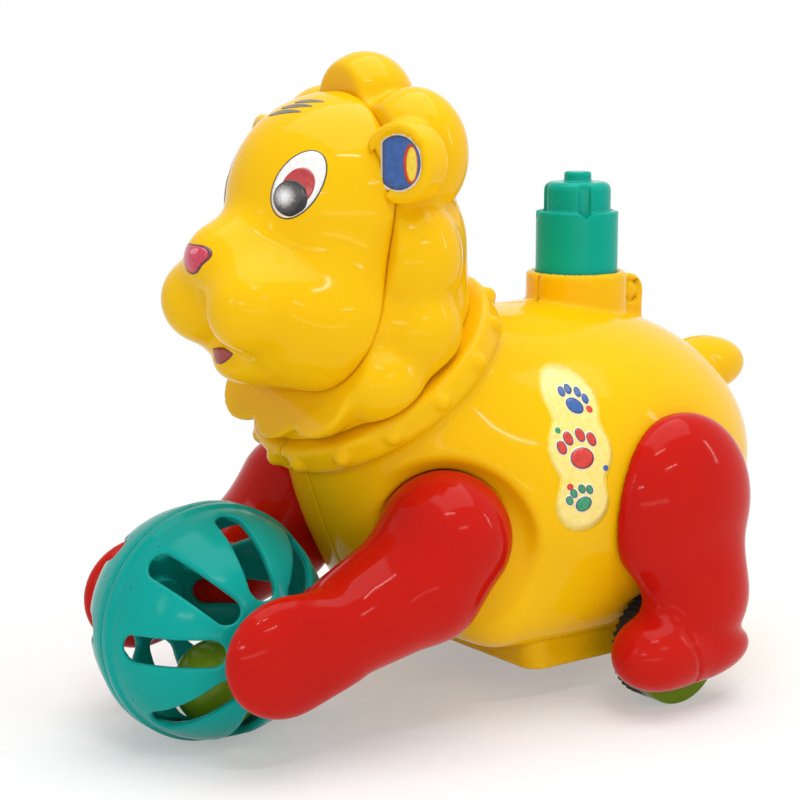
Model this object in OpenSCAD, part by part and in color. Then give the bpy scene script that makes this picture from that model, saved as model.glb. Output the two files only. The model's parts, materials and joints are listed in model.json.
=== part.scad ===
// Press and go lion: push the knob on its back and the rear wheels drive it,
// with a slotted rattle ball between the front paws as the front wheel.
// Millimetres, +X forward, +Y the lion's left, +Z up, ground at Z = 0.

/* [Overall] */
// Length from the front of the ball to the tip of the tail
overall_len = 200; // [190:1:215]
// Distance between the ball axis and the rear axle
wheelbase = 106; // [100:1:112]
// Wall of the moulded shells, measured along the ray
shell_wall = 2.6; // [2:0.1:3.2]
// Gap between separate mouldings
part_gap = 0.3; // [0.25:0.05:0.5]
// Radial clearance of running fits
run_gap = 0.05; // [0.02:0.01:0.1]

/* [Body] */
// Length of the egg-shaped body without neck and tail
body_len = 122; // [116:1:128]
// Width of the body
body_w = 96; // [92:1:100]
// Height of the body
body_h = 82; // [78:1:86]
// Height of the middle of the body
body_z = 55; // [53:0.5:58]
// Middle of the body ahead of the rear axle
body_ahead = 8; // [5:0.5:11]
// Height of the tail
tail_z = 74; // [70:0.5:78]
// Thickness of the tail
tail_d = 16; // [13:0.5:19]

/* [Neck] */
// Neck ring centre behind the ball axis
neck_behind = 48.4; // [46:0.2:51]
// Height of the neck ring centre
neck_z = 82; // [80:0.5:85]
// Slope of the neck axis above level
neck_tilt = 52.6; // [50:0.1:55]
// Outside diameter of the studded neck ring
neck_ring_d = 65.6; // [62:0.2:69]
// Thickness of the neck ring along the neck
neck_ring_t = 5.6; // [5:0.1:6.4]
// Diameter of the spigot that carries the head
spigot_d = 28; // [24:1:32]

/* [Head] */
// Height of the middle of the skull
head_z = 123; // [121:0.5:125]
// Middle of the skull behind the ball axis
head_behind = 37; // [35:0.5:39]
// Width of the skull
skull_w = 53; // [50:0.5:56]
// Half angle of the face cup at the brow and cheeks
face_angle = 76; // [73:1:77]
// How much less it opens under the chin
chin_cut = 5; // [3:1:8]

/* [Ball] */
// Diameter of the slotted ball
ball_d = 55; // [52:0.5:58]
// Height of the ridge round its middle
ridge_h = 0.6; // [0.4:0.1:1]
// Width of the ridge
ridge_w = 5.6; // [4:0.2:7]
// Wall of the ball halves
ball_wall = 2; // [1.6:0.1:2.6]
// Half width of the ball at its flat ends
ball_end = 26.2; // [25:0.1:26.6]
// Slots in each half
slot_n = 8; // [6:1:9]
// Width of a slot
slot_w = 6.4; // [5:0.2:7.5]
// Length of a slot
slot_len = 24; // [20:0.5:26]
// Diameter of the paw pins
pin_d = 6; // [5:0.5:7]
// Diameter of the rattle bead
bead_d = 21; // [17:0.5:22]

/* [Front legs] */
// Shoulder behind the ball axis
shoulder_behind = 45.5; // [43:0.5:48]
// Shoulder distance from the middle plane
shoulder_y = 31; // [29.5:0.5:32.5]
// Height of the shoulder
shoulder_z = 47.5; // [45:0.5:50]
// Thickness of the upper arm
arm_d = 31.6; // [29:0.2:33]
// Thickness of the wrist
wrist_d = 23.6; // [21:0.2:25]
// Outer face of the paw from the middle plane
paw_out = 39.5; // [38:0.5:42]

/* [Rear legs] */
// Outer face of the thigh from the middle plane
thigh_out = 59; // [57:0.5:62]
// Height of the thigh top
thigh_top = 73; // [71:0.5:76]
// Length of the foot
foot_len = 40; // [36:0.5:42]

/* [Wheels] */
// Diameter of the rear wheels
wheel_d = 26.8; // [25:0.2:29]
// Width of a rear wheel
wheel_w = 10.4; // [9:0.2:12]
// Width of the rubber tyre
tyre_w = 6.4; // [5:0.2:7.5]
// Depth of the rubber tyre
tyre_t = 2.6; // [2:0.2:3.2]
// Ribs round a tyre
tyre_ribs = 40; // [30:1:50]
// Diameter of the steel axle
axle_d = 3; // [2.6:0.1:3.2]

/* [Knob] */
// Knob axis behind the rear axle
knob_behind = 5.6; // [5:0.1:7]
// Diameter of the knob sleeve
knob_d = 21.2; // [20:0.2:23]
// Height of the knob top
knob_top = 128.5; // [126:0.5:132]
// Height of the collar round the knob
collar_top = 103; // [101:0.5:105]
// Outside diameter of the collar
collar_d = 26; // [25:0.5:29]
// Travel of the knob when pressed
travel = 16; // [13:0.5:16]

/* [Drive] */
// Module of the rack and its pinion
rack_m = 1; // [1]
// Teeth of the rack pinion
pinion_n = 10; // [10]
// Module of the fine gears
fine_m = 0.5; // [0.5]
// Teeth of the drive gear
drive_n = 44; // [42:1:46]
// Teeth of the swing gear
swing_n = 28; // [26:1:30]
// Teeth of the small pinions
small_n = 10; // [10]
// Pressure angle of all teeth
press_angle = 28; // [26:1:28]
// Height of the drive gear axis
drive_z = 35.5; // [35:0.5:38]
// Stem width across the toy
stem_w = 7; // [6:0.5:8]
// Stem depth along the toy
stem_t = 8; // [7:0.5:8.5]
// Wire of the return spring
spring_wire = 0.8; // [0.6:0.1:1]
// Diameter of the return spring outside
spring_d = 7; // [6:0.5:7.4]
// Curls of the return spring
spring_n = 5; // [4:1:6]

/* [Gearbox] */
// Length of the tray under the belly
tray_len = 66; // [62:1:70]
// Width of the tray
tray_w = 58; // [54:1:60]
// Height of its underside above the ground
tray_z = 9; // [8:0.1:9.2]
// Height of its top
tray_top = 32; // [30:1:36]
// Thickness of the tray walls
tray_wall = 1.8; // [1.4:0.1:2.4]
// Thickness of the tray floor
tray_floor = 1.1; // [1:0.05:1.2]
// Thickness of the gearbox plates
plate_t = 2; // [1.6:0.1:2.4]
// Height of the plate tops
plate_top = 52; // [51:0.5:56]

/* [Hidden] */
$fn = 48;

// Colours
yellow = [0.97, 0.74, 0.05];
red = [0.75, 0.1, 0.07];
teal = [0.02, 0.58, 0.53];
green = [0.4, 0.55, 0.15];
rubber = [0.09, 0.09, 0.1];
steel = [0.75, 0.76, 0.78];
nylon = [0.92, 0.91, 0.86];

// Places along the toy
ball_r = ball_d / 2;
ridge_r = ball_r + ridge_h;
ball_x = overall_len / 2 - ridge_r;
ball_c = [ball_x, 0, ridge_r];
rear_x = ball_x - wheelbase;
wheel_r = wheel_d / 2;
axle_r = axle_d / 2;
body_c = [rear_x + body_ahead, 0, body_z];
neck_c = [ball_x - neck_behind, 0, neck_z];
neck_n = [cos(neck_tilt), 0, sin(neck_tilt)];
neck_face = neck_c + neck_n * neck_ring_t;
skull_c = [ball_x - head_behind, 0, head_z];
knob_x = rear_x - knob_behind;
knob_r = knob_d / 2;
tail_tip = -overall_len / 2;
side = [0, 1, 0];

// Places across the toy
wheel_in = tray_w / 2 + 8;
wheel_out = wheel_in + wheel_w;
paw_in = ball_end + 0.6;

// Distance fields: each form is [kind, blend, ...]
ball_form = 0;
limb_form = 1;
disc_form = 2;
function clamp(v, lo, hi) = max(lo, min(hi, v));
function unit(v) = v / norm(v);
function mix(a, b, t) = a + (b - a) * t;
function egg_d(p, c, s) =
  let (q = p - c, a = [q.x / s.x, q.y / s.y, q.z / s.z], b = [a.x / s.x, a.y / s.y, a.z / s.z])
  norm(b) < 1e-6 ? -min(s) : norm(a) * (norm(a) - 1) / norm(b);
function limb_d(p, a, b, ra, rb) =
  let (ab = b - a, h = clamp(((p - a) * ab) / (ab * ab), 0, 1))
  norm(p - a - h * ab) - mix(ra, rb, h);
function disc_d(p, c, n, r, half, edge) =
  let (q = p - c, h = q * n, w = sqrt(max(q * q - h * h, 0)))
  let (a = w - (r - edge), b = abs(h) - (half - edge))
  min(max(a, b), 0) + norm([max(a, 0), max(b, 0)]) - edge;
function form_d(p, f) =
  f[0] == ball_form ? egg_d(p, f[2], f[3]) :
  f[0] == limb_form ? limb_d(p, f[2], f[3], f[4], f[5]) :
  disc_d(p, f[2], f[3], f[4], f[5], f[6]);
function blend(a, b, k) =
  k <= 0 ? min(a, b) : let (h = max(k - abs(a - b), 0) / k) min(a, b) - h * h * k / 4;
function forms_d(p, forms, i = 0, d = 1000) =
  i == len(forms) ? d : forms_d(p, forms, i + 1, blend(d, form_d(p, forms[i]), forms[i][1]));
function fold(p) = [p.x, abs(p.y), p.z];

// Distance along a ray from inside to the outermost skin of a field
reach_steps = 40;
reach_tol = 0.01;
function reach(field, o, d, t, n = reach_steps) =
  let (f = field(o + t * d))
  (n == 0 || abs(f) < reach_tol) ? t : reach(field, o, d, t - f * 0.9, n - 1);

// Body: an egg, a neck with its ring, a low belly beside the tray and a tail
shoulder_c = [ball_x - shoulder_behind, shoulder_y, shoulder_z];
arm_r = arm_d / 2;
wrist_r = wrist_d / 2;
elbow_c = shoulder_c + [7.1, 0, -8.9];
elbow_r = arm_r - 0.8;
wrist_c = [ball_x - 16.4, paw_out - wrist_r + 1, ball_c.z + 1.4];
arm_bones = [[shoulder_c, elbow_c, arm_r, elbow_r], [elbow_c, wrist_c, elbow_r, wrist_r]];
recess_gap = 0.7;
tail_len = 15;
ring_under = 2.7;
egg_half = [body_len / 2, body_w / 2, body_h / 2];
belly_r = 9.6;
belly_y = tray_w / 2 - 3.5;
belly_z = tray_top - 5.2;
body_forms = [
  [ball_form, 0, body_c, egg_half],
  [limb_form, 14, body_c + [26, 0, -3], neck_c - neck_n * 2, 37, 29],
  [limb_form, 12, [rear_x - 12, belly_y, belly_z - 0.6], [rear_x + 40, belly_y, belly_z + 0.6],
    belly_r, belly_r],
  [disc_form, 1.5, neck_c + neck_n * (neck_ring_t - ring_under) / 2, neck_n, neck_ring_d / 2,
    (neck_ring_t + ring_under) / 2, 2.2],
  [ball_form, 5, [tail_tip + tail_len, 0, tail_z], [tail_len, tail_d / 2, tail_d / 2]]];
body_field = function (p) let (q = fold(p)) max(forms_d(q, body_forms), (q - neck_face) * neck_n);

// Head: the face in front, the lobed mane round and behind it
face_forms = [
  [ball_form, 0, skull_c, [24, skull_w / 2, 27]],
  [ball_form, 12, skull_c + [12, 0, 0], [14, 12, 18]],
  [ball_form, 10, skull_c + [8.5, 13, -25], [19.5, 15.5, 15.5]],
  [ball_form, 7, skull_c + [28.5, 0, -10.5], [12, 10.5, 9.5]],
  [ball_form, 5, skull_c + [28, 8.6, -23.2], [12, 9.6, 9.4]],
  [ball_form, 6, skull_c + [12, 6, -31.5], [17, 15, 9.5]],
  [ball_form, 2.5, skull_c + [24, 0, -35], [10, 9.5, 6]]];
face_field = function (p) forms_d(fold(p), face_forms);
mane_blend = 2;
mane_lobes = [
  [[-8, 0, 23.5], [12, 11.5, 12.5]],
  [[-9, 17.5, 12.5], [13, 13, 15.5]],
  [[-5, 21, -11], [12.5, 13, 15]],
  [[-5, 22, -27], [12, 12.5, 12.5]],
  [[4, 21.5, -38.5], [12, 11.5, 10]],
  [[17, 14.5, -42], [11, 11, 9.5]],
  [[20, 0, -43.5], [10.5, 11, 10]],
  [[11, 0, -38], [14, 24, 9]],
  [[-16, 0, 8], [12, 14, 15]],
  [[-12, 13, -8], [12, 14, 15]],
  [[-17, 0, -14], [12, 13, 14]]];
mane_forms = concat(
  [[ball_form, 0, skull_c + [-9, 0, -13], [20, 27, 34]],
   [limb_form, 6, skull_c + [-9, 0, -16], neck_face, 22, neck_ring_d / 2 - 3]],
  [for (l = mane_lobes) [ball_form, mane_blend, skull_c + l[0], l[1]]]);
mane_seat = 0.2;
mane_field = function (p) max(forms_d(fold(p), mane_forms), (neck_face + mane_seat * neck_n - p) * neck_n);
head_o = skull_c + [-3, 0, -10];
face_axis = [cos(10), 0, sin(10)];
function face_edge(phi) = face_angle - chin_cut * pow(max(0, -cos(phi)), 3);

// Front legs reach round the ball to the paw pins
paw_y = (paw_in + paw_out) / 2;
paw_c = [ball_x - 0.5, paw_y, ball_c.z - 0.7];
ball_gap = 0.8;
arm_forms = concat(
  [for (b = arm_bones) concat([limb_form, 2], b)],
  [[ball_form, 8, paw_c, [15.6, (paw_out - paw_in) / 2, 13.9]]]);
arm_field = function (p)
  max(forms_d(p, arm_forms), ridge_r + ball_gap - norm(p - ball_c), paw_clear(p));
function paw_clear(p) = norm([p.x - ball_x, p.z - ball_c.z]) < ball_r / 2 ? paw_in - p.y : -ball_r;

// Rear legs stand outside the wheels and against the body
thigh_h = 22.5;
thigh_t = 12;
toe_at = 0.26;
thigh_z = thigh_top - thigh_h;
leg_forms = [
  [ball_form, 0, [rear_x + 0.8, thigh_out - thigh_t, thigh_z], [20.8, thigh_t, thigh_h]],
  [ball_form, 7, [rear_x - 4.5, thigh_out - 10.5, 27.5], [14.4, 10.4, 15.5]],
  [ball_form, 2.5, [rear_x + 0.6, thigh_out - 9.3, 14], [foot_len / 2, 9.2, 7.8]],
  [ball_form, 7, [rear_x + 0.6 + toe_at * foot_len, thigh_out - 9.3, 16.3], [9.2, 8.6, 8.3]]];
wheel_gap = 0.6;
thigh_gap = part_gap + 0.4;
leg_field = function (p) max(forms_d(p, leg_forms), thigh_gap - forms_d(p, body_forms));

// Rays for skins: a spine with round ends, rings along it and phi round it
function ray_dir(axis, e, phi) =
  let (s = unit(side - (side * axis) * axis), b = cross(axis, s))
  cos(e) * (cos(phi) * b + sin(phi) * s) + sin(e) * axis;

// Half shell of the body: outer and inner skins joined on the middle plane
spine_rear = [body_c.x - 30, 0, tail_z];
spine_front = neck_c - neck_n * 22;
body_rings = concat(
  [for (e = [-90, -85, -78, -69, -58, -44, -29, -14]) [0, e]],
  [for (k = [0 : 6]) [k / 6, 0]],
  [for (e = [12, 24, 34, 41, 46, 50, 54, 58, 66, 90]) [1, e]]);
body_phis = concat([for (k = [0 : 5]) k * 12], [for (k = [0 : 4]) 71 + k * 11],
  [for (k = [0 : 5]) 123 + k * 7], [166, 173, 180]);
function body_ray(ring, phi) =
  let (axis = unit(mix([1, 0, 0], neck_n, sin(90 * ring[0]))))
  [mix(spine_rear, spine_front, ring[0]), ray_dir(axis, ring[1], phi)];
module half_shell(hollow) {
  n = len(body_rings);
  m = len(body_phis);
  rays = [for (i = [0 : n - 1], j = [0 : m - 1]) if (j == 0 || (i > 0 && i < n - 1))
    body_ray(body_rings[i], body_phis[j])];
  far = [for (r = rays) reach(body_field, r[0], r[1], 90)];
  outer = [for (k = [0 : len(rays) - 1]) rays[k][0] + far[k] * rays[k][1]];
  inner = [for (k = [0 : len(rays) - 1]) rays[k][0] + (hollow ? far[k] - shell_wall : 0) * rays[k][1]];
  polyhedron(concat(outer, inner), concat(grid_faces(n, m, 0, false), grid_faces(n, m, len(rays), true),
    seam_faces(n, m, len(rays))), convexity = 6);
}
function grid_at(n, m, i, j) = i == 0 ? 0 : i == n - 1 ? 1 + (n - 2) * m : 1 + (i - 1) * m + j;
function turned(f, flip) = flip ? [f[0], f[2], f[1]] : f;
function grid_faces(n, m, base, flip, wrap = false) = [
  for (i = [0 : n - 2], j = [0 : wrap ? m - 1 : m - 2])
    let (k = (j + 1) % m, a = base + grid_at(n, m, i, j), b = base + grid_at(n, m, i, k),
         c = base + grid_at(n, m, i + 1, k), d = base + grid_at(n, m, i + 1, j))
    each concat(a == b ? [] : [turned([a, b, c], flip)], c == d ? [] : [turned([a, c, d], flip)])];
function seam_faces(n, m, base) = [
  for (i = [0 : n - 2], s = [0, 1])
    let (j = s * (m - 1), a = grid_at(n, m, i, j), b = grid_at(n, m, i + 1, j))
    each s == 0 ? [[a, b, base + b], [a, base + b, base + a]] : [[b, a, base + a], [b, base + a, base + b]]];

// Closed skin of a limb along a spine from a to b
limb_rings = concat(
  [for (e = [-90, -72, -54, -36, -18]) [0, e]],
  [for (k = [0 : 10]) [k / 10, 0]],
  [for (e = [18, 36, 54, 72, 90]) [1, e]]);
limb_sides = 22;
module limb_skin(field, a, b) {
  n = len(limb_rings);
  axis = unit(b - a);
  rays = [for (i = [0 : n - 1], j = [0 : limb_sides - 1]) if (j == 0 || (i > 0 && i < n - 1))
    [mix(a, b, limb_rings[i][0]), ray_dir(axis, limb_rings[i][1], j * 360 / limb_sides)]];
  pts = [for (r = rays) r[0] + reach(field, r[0], r[1], 40) * r[1]];
  polyhedron(pts, grid_faces(n, limb_sides, 0, false, true), convexity = 6);
}

// Cup round the head: rings open out from the pole to an edge
cup_sides = 36;
function cup_dir(theta, phi) =
  let (b = cross(face_axis, side)) cos(theta) * face_axis + sin(theta) * (cos(phi) * b + sin(phi) * side);
function cup_at(m, i, j) = i == 0 ? 0 : 1 + (i - 1) * m + j;
function cup_faces(n, m, base, flip) = [
  for (i = [0 : n - 2], j = [0 : m - 1])
    let (k = (j + 1) % m, a = base + cup_at(m, i, j), b = base + cup_at(m, i, k),
         c = base + cup_at(m, i + 1, k), d = base + cup_at(m, i + 1, j))
    each concat(a == b ? [] : [turned([a, b, c], flip)], [turned([a, c, d], flip)])];
function lip_faces(n, m, base, flip) = [
  for (j = [0 : m - 1])
    let (a = cup_at(m, n - 1, j), b = cup_at(m, n - 1, (j + 1) % m))
    each [turned([a, b, base + b], flip), turned([a, base + b, base + a], flip)]];

// Solid helpers
module along_y(x, z, y0, y1) {
  translate([x, y1, z]) rotate([90, 0, 0]) linear_extrude(y1 - y0) children();
}
module pin_y(x, z, y0, y1, r) {
  translate([x, y1, z]) rotate([90, 0, 0]) cylinder(r = r, h = y1 - y0);
}
module pin_z(x, y, z0, z1, r) {
  translate([x, y, z0]) cylinder(r = r, h = z1 - z0);
}
module block(x0, x1, y0, y1, z0, z1) {
  translate([x0, y0, z0]) cube([x1 - x0, y1 - y0, z1 - z0]);
}
module rounded_block(x0, x1, y0, y1, z0, z1, r) {
  block(x0 + r, x1 - r, y0, y1, z0, z1);
  block(x0, x1, y0 + r, y1 - r, z0, z1);
  for (x = [x0 + r, x1 - r], y = [y0 + r, y1 - r]) pin_z(x, y, z0, z1, r);
}
module along_neck() {
  translate(neck_face) rotate([0, 90 - neck_tilt, 0]) children();
}
module screw_y(x, z, y_head, y_tip, r) {
  s = sign(y_tip - y_head);
  pin_y(x, z, min(y_head, y_tip), max(y_head, y_tip), r);
  pin_y(x, z, min(y_head, y_head - s * r), max(y_head, y_head - s * r), 2 * r);
}

// Body shells
hole_gap = 0.15;
spigot_r = spigot_d / 2;
collar_bore = knob_r + part_gap;
collar_r = collar_d / 2;
collar_low = collar_top - 17;
tab_r = 4.5;
tab_x = knob_x - collar_r - 2.2;
tab_z = collar_top - 6;
tab_y = 4.5;
screw_r = 1.3;
boss_r = 3.2;
boss_spots = [[neck_c.x + 14, neck_c.z - 20], [body_c.x - 44, body_c.z - 4], [neck_c.x - 36, neck_c.z + 7]];
screw_head_y = 9;
tray_x = rear_x - 1;
tray_x0 = tray_x - tray_len / 2;
tray_x1 = tray_x + tray_len / 2;
tray_r = 5;
tray_y = tray_w / 2;
post_in = 5.5;
bracket_h = 7;
bracket_xs = [tray_x0 + post_in, tray_x1 - post_in];
thigh_screw = [rear_x + 2, thigh_z + 4];
arm_screw = [shoulder_c.x - 2, shoulder_c.z + 3];
arm_head_y = shoulder_y - arm_r - recess_gap - shell_wall - 0.3;
dish_yaw = 30;
dish_n = [sin(dish_yaw), cos(dish_yaw), 0];
dish_c = shoulder_c + [-1, -2.2, -4.4];
dish_deep = 1.5;
dish_h = 24;
dish_r = arm_r + 6.5;
module recess(wall) {
  gap = recess_gap + wall;
  translate(dish_c - dish_n * (dish_deep + wall)) rotate([0, 0, -dish_yaw]) rotate([-90, 0, 0])
    cylinder(r = dish_r + wall, h = dish_h);
  for (b = arm_bones) translate(b[0]) {
    v = b[1] - b[0];
    sphere(b[2] + gap);
    rotate([0, acos(v.z / norm(v)), atan2(v.y, v.x)])
      cylinder(r1 = b[2] + gap, r2 = b[3] + gap, h = norm(v));
  }
}
function flank(x, z) = reach(body_field, [x, 0, z], side, 60);
// How far a boss may run into the wall: the nearest skin round its rim
function seat(x, z, r) =
  min([for (a = [0 : 45 : 315]) flank(x + r * cos(a), z + r * sin(a))]) - shell_wall * 0.6;
bracket_half = 4;
module bracket(x) {
  end = min([for (dx = [-bracket_half, bracket_half], dz = [0, bracket_h]) flank(x + dx, tray_top + dz)]);
  difference() {
    block(x - bracket_half, x + bracket_half, tray_y - post_in - bracket_half, end - shell_wall * 0.6,
      tray_top, tray_top + bracket_h);
    pin_z(x, tray_y - post_in, tray_top - 1, tray_top + bracket_h - 1, screw_r);
  }
}
module shell_half(bored) {
  $fn = 16;
  difference() {
    union() {
      half_shell(true);
      intersection() {
        half_shell(false);
        recess(shell_wall, $fn = 28);
      }
      intersection() {
        union() {
          pin_z(knob_x, 0, collar_low, collar_top, collar_r, $fn = 48);
          pin_y(tab_x, tab_z, 0, tab_y, tab_r);
          block(tab_x - tab_r, tab_x + 4, 0, tab_y, tab_z - 10, tab_z);
        }
        block(knob_x - 40, knob_x + 40, 0, 40, collar_low, collar_top + 1);
      }
      for (s = boss_spots) pin_y(s.x, s.y, 0, seat(s.x, s.y, boss_r), boss_r);
      for (x = bracket_xs) bracket(x);
    }
    recess(0, $fn = 28);
    pin_z(knob_x, 0, collar_low - 1, collar_top + 1, collar_bore, $fn = 48);
    pin_y(rear_x, wheel_r, wheel_in - wheel_gap, wheel_out, wheel_r + wheel_gap, $fn = 48);
    block(tray_x0 - part_gap, tray_x1 + part_gap, -1, tray_y + part_gap, 0, tray_top);
    along_neck() pin_z(0, 0, -12, 5, spigot_r + hole_gap, $fn = 48);
    for (s = boss_spots) pin_y(s.x, s.y, -1, bored ? screw_head_y + 1 : 14, screw_r);
    pin_y(tab_x, tab_z, -1, bored ? tab_y + 1 : tab_y - 1, screw_r);
    if (bored) for (s = boss_spots) pin_y(s.x, s.y, screw_head_y, 60, 2 * screw_r + hole_gap);
    pin_y(thigh_screw.x, thigh_screw.y, 30, 60, screw_r + hole_gap);
    pin_y(arm_screw.x, arm_screw.y, 4, 40, screw_r + hole_gap);
  }
}
module body_left_shell() color(yellow) shell_half(false);
module body_right_shell() color(yellow) mirror(side) shell_half(true);

// Head
face_rings = [0, 7, 14, 21, 28, 35, 42, 49, 56, 63, 70, 77, 84, 91, 96, 100];
mane_rings = [0, 10, 20, 23, 26, 30, 35, 41, 47, 53, 59, 65, 71, 77, 83, 88, 93, 97, 100];
mane_sole = 20;
mane_foot_r = neck_ring_d / 2 - 2.4;
function mane_dir(f, phi) =
  let (b = cross(neck_n, side), r = mane_foot_r * min(f / mane_sole, 1),
       foot = neck_face + r * (cos(phi) * b + sin(phi) * side),
       low = unit(foot - head_o), high = cup_dir(face_edge(phi) + seam_angle, phi))
  unit(mix(low, high, clamp((f - mane_sole) / (100 - mane_sole), 0, 1)));
seam_angle = 0.5;
cup_phis = [for (j = [0 : cup_sides - 1]) j * 360 / cup_sides];
module face_shell() color(yellow) {
  n = len(face_rings);
  rays = [for (f = face_rings, phi = cup_phis) if (f > 0 || phi == 0) cup_dir(f / 100 * face_edge(phi), phi)];
  far = [for (d = rays) reach(face_field, head_o, d, 60)];
  outer = [for (k = [0 : len(rays) - 1]) head_o + far[k] * rays[k]];
  inner = [for (k = [0 : len(rays) - 1]) head_o + (far[k] - shell_wall) * rays[k]];
  polyhedron(concat(outer, inner), concat(cup_faces(n, cup_sides, 0, true),
    cup_faces(n, cup_sides, len(rays), false), lip_faces(n, cup_sides, len(rays), true)), convexity = 6);
}
// Ears: round dishes on the mane, open to the front, cut off beside the face
ear_side = skull_w / 2 + 0.7;
ear_r = 9.2;
ear_depth = 8.5;
ear_dish_r = 6.9;
ear_dish = 1;
ear_c = skull_c + [4.2, 29, 11.5];
ear_turn = 20;
module along_ear() translate(ear_c) rotate([0, 90, ear_turn]) children();
module beside_face() block(skull_c.x - 0.4, skull_c.x + 30, 0, ear_side, skull_c.z - 10, skull_c.z + 35);
module ear_cup() difference() {
  along_ear() rotate_extrude($fn = 48)
    polygon([[0, -ear_depth], [ear_r - 3, -ear_depth], [ear_r - 1, -ear_depth + 1.5], [ear_r, -ear_depth + 4],
      [ear_r, -1.4], [ear_r - 0.5, -0.5], [ear_r - 1.4, 0], [ear_dish_r + 0.3, 0],
      [ear_dish_r, -0.4], [ear_dish_r, -ear_dish], [0, -ear_dish]]);
  beside_face();
}
module mane_shell() color(yellow) {
  n = len(mane_rings);
  rays = [for (f = mane_rings, phi = cup_phis) if (f > 0 || phi == 0)
    [f, mane_dir(f, phi)]];
  far = [for (r = rays) reach(mane_field, head_o, r[1], 60)];
  near = [for (k = [0 : len(rays) - 1]) let (s = clamp((rays[k][0] - 82) / 14, 0, 1))
    mix(far[k], min(far[k], reach(face_field, head_o, rays[k][1], 60)), s) - shell_wall];
  outer = [for (k = [0 : len(rays) - 1]) head_o + far[k] * rays[k][1]];
  inner = [for (k = [0 : len(rays) - 1]) head_o + near[k] * rays[k][1]];
  difference() {
    union() {
      polyhedron(concat(outer, inner), concat(cup_faces(n, cup_sides, 0, false),
        cup_faces(n, cup_sides, len(rays), true), lip_faces(n, cup_sides, len(rays), false)), convexity = 6);
      ear_cup();
      mirror(side) ear_cup();
    }
    along_neck() pin_z(0, 0, -5, 8, spigot_r + hole_gap);
  }
}
spigot_half = shell_wall + 2.2;
module neck_spigot() color(yellow) along_neck() difference() {
  union() {
    pin_z(0, 0, -spigot_half, spigot_half, spigot_r);
    for (z = [-spigot_half, spigot_half - 2]) pin_z(0, 0, z, z + 2, spigot_r + 2.5);
  }
  pin_z(0, 0, -spigot_half - 1, spigot_half + 1, spigot_r - shell_wall);
}

// Legs
pin_r = pin_d / 2;
pin_in = ball_end - 5.5;
module front_leg() {
  limb_skin(arm_field, paw_c, shoulder_c);
  pin_y(ball_x, ball_c.z, pin_in, paw_y, pin_r);
}
leg_y = wheel_out + 4.5;
module rear_leg() difference() {
  limb_skin(leg_field, [rear_x - 1, leg_y, 14], [rear_x + 1, leg_y, thigh_z + 4]);
  pin_y(rear_x, wheel_r, wheel_in, wheel_out + wheel_gap, wheel_r + wheel_gap);
}
module front_leg_left() color(red) front_leg();
module front_leg_right() color(red) mirror(side) front_leg();
module rear_leg_left() color(red) rear_leg();
module rear_leg_right() color(red) mirror(side) rear_leg();

// Ball of two slotted halves on the paw pins, with a loose bead inside
slot_lat = 41;
hub_r = pin_r + 2.4;
module ball_half() {
  translate(ball_c) difference() {
    union() {
      intersection() {
        difference() {
          sphere(ball_r, $fn = 72);
          sphere(ball_r - ball_wall, $fn = 72);
        }
        block(-ball_d, ball_d, 0, ball_end, -ball_d, ball_d);
      }
      pin_y(0, 0, pin_in, ball_end, hub_r);
      difference() {
        pin_y(0, 0, 0, ridge_w / 2, ridge_r);
        pin_y(0, 0, -1, ridge_w / 2 + 1, ball_r - ball_wall / 2);
      }
    }
    pin_y(0, 0, pin_in - 1, ball_end + 1, pin_r + run_gap);
    for (k = [0 : slot_n - 1]) rotate([0, k * 360 / slot_n, 0]) rotate([0, 0, slot_lat]) slot();
  }
}
slot_half = (slot_len - slot_w) / 2;
module slot() {
  block(ball_r - ball_wall - 3, ball_r + 3, -slot_half, slot_half, -slot_w / 2, slot_w / 2);
  for (y = [-slot_half, slot_half])
    translate([ball_r - ball_wall - 3, y, 0]) rotate([0, 90, 0]) cylinder(d = slot_w, h = ball_wall + 6);
}
module ball_left_half() color(teal) ball_half();
module ball_right_half() color(teal) mirror(side) ball_half();
bead_y = 4;
bead_reach = ball_r - ball_wall - bead_d / 2 - part_gap;
bead_drop = sqrt(bead_reach * bead_reach - bead_y * bead_y);
module rattle_bead() color(green) translate(ball_c + [0, bead_y, -bead_drop]) sphere(d = bead_d);

// Wheels
rib_h = 0.6;
module wheel_hub() difference() {
  union() {
    pin_y(rear_x, wheel_r, wheel_in + tyre_w, wheel_out, wheel_r);
    pin_y(rear_x, wheel_r, wheel_in, wheel_in + tyre_w, wheel_r - tyre_t);
  }
  pin_y(rear_x, wheel_r, wheel_in - 1, wheel_out - 1.5, axle_r);
}
module tyre() difference() {
  along_y(rear_x, wheel_r, wheel_in, wheel_in + tyre_w)
    polygon([for (k = [0 : tyre_ribs - 1], s = [[-0.2, 0], [0.2, 0], [0.3, rib_h], [0.7, rib_h]])
      let (a = 270 + (k + s[0]) * 360 / tyre_ribs) (wheel_r - s[1]) * [cos(a), sin(a)]]);
  pin_y(rear_x, wheel_r, wheel_in - 1, wheel_in + tyre_w + 1, wheel_r - tyre_t);
}
module wheel_hub_left() color(green) wheel_hub();
module wheel_hub_right() color(green) mirror(side) wheel_hub();
module tyre_left() color(rubber) tyre();
module tyre_right() color(rubber) mirror(side) tyre();
module rear_axle() color(steel) pin_y(rear_x, wheel_r, -wheel_out + 1.6, wheel_out - 1.6, axle_r);

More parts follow.
